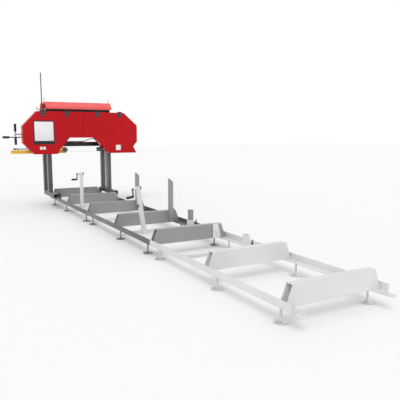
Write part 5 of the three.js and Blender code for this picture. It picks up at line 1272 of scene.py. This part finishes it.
def addBandWheel(node, body):
    sizes = wheelSizes
    outer = sizes["radius"] - sizes["tyre"]
    inner = outer - sizes["rim"]
    half, web, hub, halfHub = sizes["halfWidth"], sizes["halfWeb"], sizes["hub"], sizes["halfHub"]
    disc = addRing(mirrored([
        (sizes["bore"], -halfHub), (hub - 0.001, -halfHub), (hub, 0.001 - halfHub), (hub + 0.003, -web - 0.002),
        (hub + 0.006, -web), (inner - 0.003, -web), (inner, -web - 0.002), (inner + 0.001, -half),
        (outer, -half)]), 96)
    pitch = sizes["holePitch"]
    holes = repeatAt(addRod((0, 0, -0.02), (0, 0, 0.02), sizes["holeRadius"], 40),
                     [(pitch * math.cos(angle), pitch * math.sin(angle), 0)
                      for angle in angles(sizes["holes"])])
    disc = addBevel(cutWith(disc, *holes), sizes["edge"], angle=sizes["edgeAngle"])
    place = (middleOf(node).x, sizes["place"], sizes["height"])
    finishPiece(aim(disc, place, "Y"), formName(node), body, "castGrey", node)
    tyre = mirrored([(outer + 0.0002, -half + 0.0006), (outer + 0.0016, -half),
                     (sizes["radius"], -half + 0.0014)])
    finishPiece(ringAt(place, "Y", tyre, 96), formName(node) + "Tyre", body, "blackRubber")


def addTrackWheels():
    sizes = trackWheelSizes
    radius, groove, half, sunk = sizes["radius"], sizes["groove"], sizes["halfWidth"], sizes["sunk"]
    profile = mirrored([
        (sizes["bore"], 0.0002 - half), (0.013, -half), (0.0135, -sunk), (0.031, -sunk), (0.032, -half),
        (radius - 0.0012, -half), (radius, 0.001 - half), (radius, -0.0078), (groove + 0.001, -0.0034),
        (groove, -0.0026)])
    wheels = ["track_wheel_" + side + "_" + ending
              for side in ("left", "right") for ending in ("front", "rear")]
    forms = repeatAt(ringAt((0, 0, 0), "X", profile, 72), [middleOf(node) for node in wheels])
    for node, form in zip(wheels, forms):
        finishPiece(form, formName(node), node, "darkSteel", node)


addBandWheel("drive_wheel", "drive_shaft")
addBandWheel("idler_wheel", "idler_wheel")
addTrackWheels()
print("wheels made")

# Drive: motor, pulleys, shaft and switch box

motorSizes = {
    "x": 0.733, "height": 0.988, "front": 4.1663, "end": 4.3563, "radius": 0.075, "core": 0.067,
    "coreInset": 0.003, "flange": drum(0.075, 0, 0.010, 0.0015, 0.0012), "bossFront": 4.1583,
    "boss": ((0.0099, 0), (0.019, 0), (0.02, 0.001), (0.02, 0.009), (0.0099, 0.009)), "cowlLength": 0.045,
    "cowl": ((0.0735, 0), (0.075, 0.0015), (0.075, 0.033), (0.0725, 0.040), (0.066, 0.0445),
             (0.060, 0.045)),
    "slots": (0.014, 0.025, 0.036, 0.047), "slotWidth": 0.005, "slotDepth": 0.004, "fins": 28,
    "finHalf": 0.0013, "finFront": 0.009, "finOverlap": 0.002, "finInset": 0.0006, "finTip": 0.6,
    "boxAngle": 270, "boxGap": 22, "bolts": 4, "boltCircle": 0.061, "boltPlace": 0.0098,
    "bolt": (0.0058, 0.0042),
}
terminalSizes = {
    "box": ((-0.030, 4.2263, 0.887), (0.030, 4.3063, 0.922)), "boxEdge": 0.003,
    "lid": ((-0.0285, 4.2278, 0.8875), (0.0285, 4.3048, 0.8935)), "lidEdge": 0.0015,
    "gland": ((0.009, 0), (0.009, 0.008), (0.0075, 0.011)), "glandPlace": (-0.029, 4.2663, 0.904),
    "glandEdge": 0.0006,
}
pulleySizes = {
    "halfWidth": 0.011, "place": 4.132, "depth": 0.0112, "grooveHalf": 0.0046, "webHalf": 0.003,
    "drive": {"radius": 0.070, "bore": 0.0124, "web": True},
    "motor": {"radius": 0.030, "bore": 0.0094, "web": False},
}
shaftSizes = {
    "places": {"drive_shaft": 0.721, "tension_block": -0.168}, "nutEdge": 0.0008, "radius": 0.0125,
    "edge": 0.001, "nut": ((0.0192, 0), (0.02, 0.0006), (0.02, 0.0072), (0.0185, 0.008)),
    "collar": ((0.0192, 0), (0.02, 0.0008), (0.02, 0.024), (0.0192, 0.0262)), "collarPlace": 4.0543,
    "stubEnd": 4.114, "blockFront": 4.112, "boreY": 4.130, "boreLength": 0.046, "boreRadius": 0.0083,
    "blockEdge": 0.0015, "motorShaft": ((0.0088, 0), (0.0095, 0.0008)),
}


def addPulley(kind, x, z):
    radius, bore, web = pulleySizes[kind]["radius"], pulleySizes[kind]["bore"], pulleySizes[kind]["web"]
    half, groove = pulleySizes["halfWidth"], radius - pulleySizes["depth"]
    profile = [(bore, -half)]
    if web:
        thin = -pulleySizes["webHalf"]
        profile += [(bore + 0.010, -half), (bore + 0.011, thin), (groove - 0.006, thin),
                    (groove - 0.005, -half)]
    profile += [(radius - 0.0008, -half), (radius, -half + 0.0008), (radius, -half + 0.003),
                (groove, -pulleySizes["grooveHalf"])]
    return ringAt((x, pulleySizes["place"], z), "Y", mirrored(profile), 72)


def makeCowl(x, z):
    sizes = motorSizes
    cowl = turnedAt((x, sizes["end"] - sizes["cowlLength"], z), "Y", sizes["cowl"], 96)
    slots = []
    for inner in sizes["slots"]:
        outer = inner + sizes["slotWidth"]
        slots.append(ringAt((x, sizes["end"] - sizes["slotDepth"], z), "Y",
                            [(inner, 0), (outer, 0), (outer, 0.006), (inner, 0.006)], 64))
    return cutWith(cowl, *slots)


def makeFins(x, z):
    # cooling fins all round, but for those where the terminal box sits
    sizes = motorSizes
    overlap, half = sizes["finOverlap"], sizes["finHalf"]
    fin = addBlock((sizes["core"] - overlap, sizes["front"] + sizes["finFront"], -half),
                   (sizes["radius"] - sizes["finInset"], sizes["end"] - sizes["cowlLength"] + overlap, half))
    taper(fin, (1, 1, sizes["finTip"]))
    turns = [angle for angle in angles(sizes["fins"])
             if abs(math.degrees(angle) - sizes["boxAngle"]) >= sizes["boxGap"]]
    return repeat(fin, [Matrix.Translation((x, 0, z)) @ Matrix.Rotation(-angle, 4, "Y") for angle in turns])


def addMotor():
    sizes = motorSizes
    x, front, z = sizes["x"], sizes["front"], sizes["height"]
    coreLength = sizes["end"] - front - sizes["coreInset"]
    core = turnedAt((x, front, z), "Y", [(sizes["core"], 0), (sizes["core"], coreLength)], 96)
    flange = turnedAt((x, front, z), "Y", sizes["flange"], 96)
    boss = ringAt((x, sizes["bossFront"], z), "Y", sizes["boss"], 48)
    cowl = makeCowl(x, z)
    fins = makeFins(x, z)
    circle = sizes["boltCircle"]
    turns = [angle + math.pi / 4 for angle in angles(sizes["bolts"])]
    bolts = addBolts([(x + circle * math.cos(turn), front + sizes["boltPlace"], z + circle * math.sin(turn))
                      for turn in turns], "Y", *sizes["bolt"])
    sizes = terminalSizes
    box = softBlock(*[shifted(corner, x=x) for corner in sizes["box"]], sizes["boxEdge"], 3)
    lid = softBlock(*[shifted(corner, x=x) for corner in sizes["lid"]], sizes["lidEdge"])
    gland = addBevel(turnedAt(shifted(sizes["glandPlace"], x=x), "-X", sizes["gland"], 6), sizes["glandEdge"])
    finishPiece(joinPieces(core, flange, boss, cowl, *fins, *bolts), "motorBody", "head", "castGrey", "motor")
    finishPiece(joinPieces(box, lid, gland), "terminalBox", "head", "blackPlastic")


def makeTensionBlock(low, high, height):
    sizes = shaftSizes
    block = addBlock((low.x, sizes["blockFront"], low.z), high)
    bore = addRod((low.x - 0.01, sizes["boreY"], height),
                  (low.x + sizes["boreLength"], sizes["boreY"], height),
                  sizes["boreRadius"], 32)
    return addBevel(cutWith(block, bore), sizes["blockEdge"], 3)


def addShafts():
    sizes, height = shaftSizes, wheelSizes["height"]
    for node, x in sizes["places"].items():
        low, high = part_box(node)
        nut = addBevel(turnedAt((x, low.y, height), "Y", sizes["nut"], 6), sizes["nutEdge"])
        collar = turnedAt((x, sizes["collarPlace"], height), "Y", sizes["collar"], 48)
        length = (high.y if node == "drive_shaft" else sizes["stubEnd"]) - low.y
        profile = drum(sizes["radius"], 0, length, sizes["edge"], sizes["edge"])
        shaft = turnedAt((x, low.y, height), "Y", profile, 40)
        if node == "drive_shaft":
            last = addPulley("drive", x, height)
        else:
            last = makeTensionBlock(low, high, height)
        finishPiece(joinPieces(shaft, nut, collar, last), formName(node), node, "darkSteel", node)
    low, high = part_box("motor_pulley")
    x, z = motorSizes["x"], motorSizes["height"]
    rim = sizes["motorShaft"][1][0]
    shaft = turnedAt((x, low.y, z), "Y", [*sizes["motorShaft"], (rim, high.y - low.y)], 32)
    pulley = addPulley("motor", x, z)
    finishPiece(joinPieces(shaft, pulley), "motorPulleyForm", "motor_pulley", "darkSteel", "motor_pulley")


switchSizes = {
    "faceInset": 0.006, "edge": 0.004, "panelRise": 0.001, "panelDepth": 0.004, "sideMargin": 0.005,
    "topMargin": 0.006, "panelEdge": 0.0012, "screw": ((0.003, 0), (0.0028, 0.0008), (0.0018, 0.0014)),
    "screwRise": 0.0009, "screwSide": 0.009, "screwTop": 0.010,
    "buttons": {"redButton": 0.3, "greenButton": 0.7},
    "button": ((0.011, 0), (0.011, 0.0012), (0.0095, 0.002), (0.0093, 0.0048), (0.0082, 0.0058),
               (0.005, 0.006)),
}


def addSwitchBox():
    sizes = switchSizes
    low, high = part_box("switch_box")
    face = low.x + sizes["faceInset"]
    side, top = sizes["sideMargin"], sizes["topMargin"]
    case = softBlock((face, low.y, low.z), high, sizes["edge"], 4)
    panel = softBlock((face - sizes["panelRise"], low.y + side, low.z + top),
                      (face + sizes["panelDepth"], high.y - side, high.z - top), sizes["panelEdge"], 3)
    screws = repeatAt(turnedAt((0, 0, 0), "-X", sizes["screw"], 20),
                      [(face - sizes["screwRise"], y, z)
                       for y in (low.y + sizes["screwSide"], high.y - sizes["screwSide"])
                       for z in (low.z + sizes["screwTop"], high.z - sizes["screwTop"])])
    finishPiece(joinPieces(case, panel, *screws), "switchCase", "head", "blackPlastic", "switch_box")
    for finish, share in sizes["buttons"].items():
        place = (face, (low.y + high.y) / 2, low.z + (high.z - low.z) * share)
        finishPiece(turnedAt(place, "-X", sizes["button"], 40), finish, "head", finish)


addMotor()
addShafts()
addSwitchBox()
print("drive made")

# Bolts on the head frame, and the cover on the spare stop's plate

boltSizes = {
    "cheeks": {-0.106: "-X", 0.654: "X"}, "heights": (0.674, 0.776), "places": (4.178, 4.334),
    "bolt": (0.007, 0.005),
}
coverSizes = {
    "low": (0.456, 1.3642, 0.0853), "high": (0.524, 1.3667, 0.194), "slant": 0.025, "edge": 0.0008,
    "boltPlace": (0.478, 1.3642, 0.142), "bolt": (0.008, 0.006),
}


def addHeadBolts():
    sizes = boltSizes
    heads = []
    for x, axis in sizes["cheeks"].items():
        heads += addBolts([(x, y, z) for z in sizes["heights"] for y in sizes["places"]], axis, *sizes["bolt"])
    finishPiece(joinPieces(*heads), "headBolts", "head", "zinc")


def addStopCover():
    sizes = coverSizes
    low, high = sizes["low"], sizes["high"]
    cover = addBlock(low, high)
    editAll(cover)
    slope = Vector((high[2] - low[2], 0, sizes["slant"])).normalized()
    bpy.ops.mesh.bisect(plane_co=(high[0], low[1], low[2]), plane_no=slope, use_fill=True, clear_outer=True)
    leaveEdit()
    addBevel(cover, sizes["edge"])
    bolt = addBolt(sizes["boltPlace"], "-Y", *sizes["bolt"])
    finishPiece(joinPieces(cover, bolt), "stopPlateCover", "track", "paleSteel")


addHeadBolts()
addStopCover()
print("bolts made")

cable.data.materials.append(materials["greyCable"])
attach(cable, "head")
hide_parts("beam_cable")
print("cable finished")
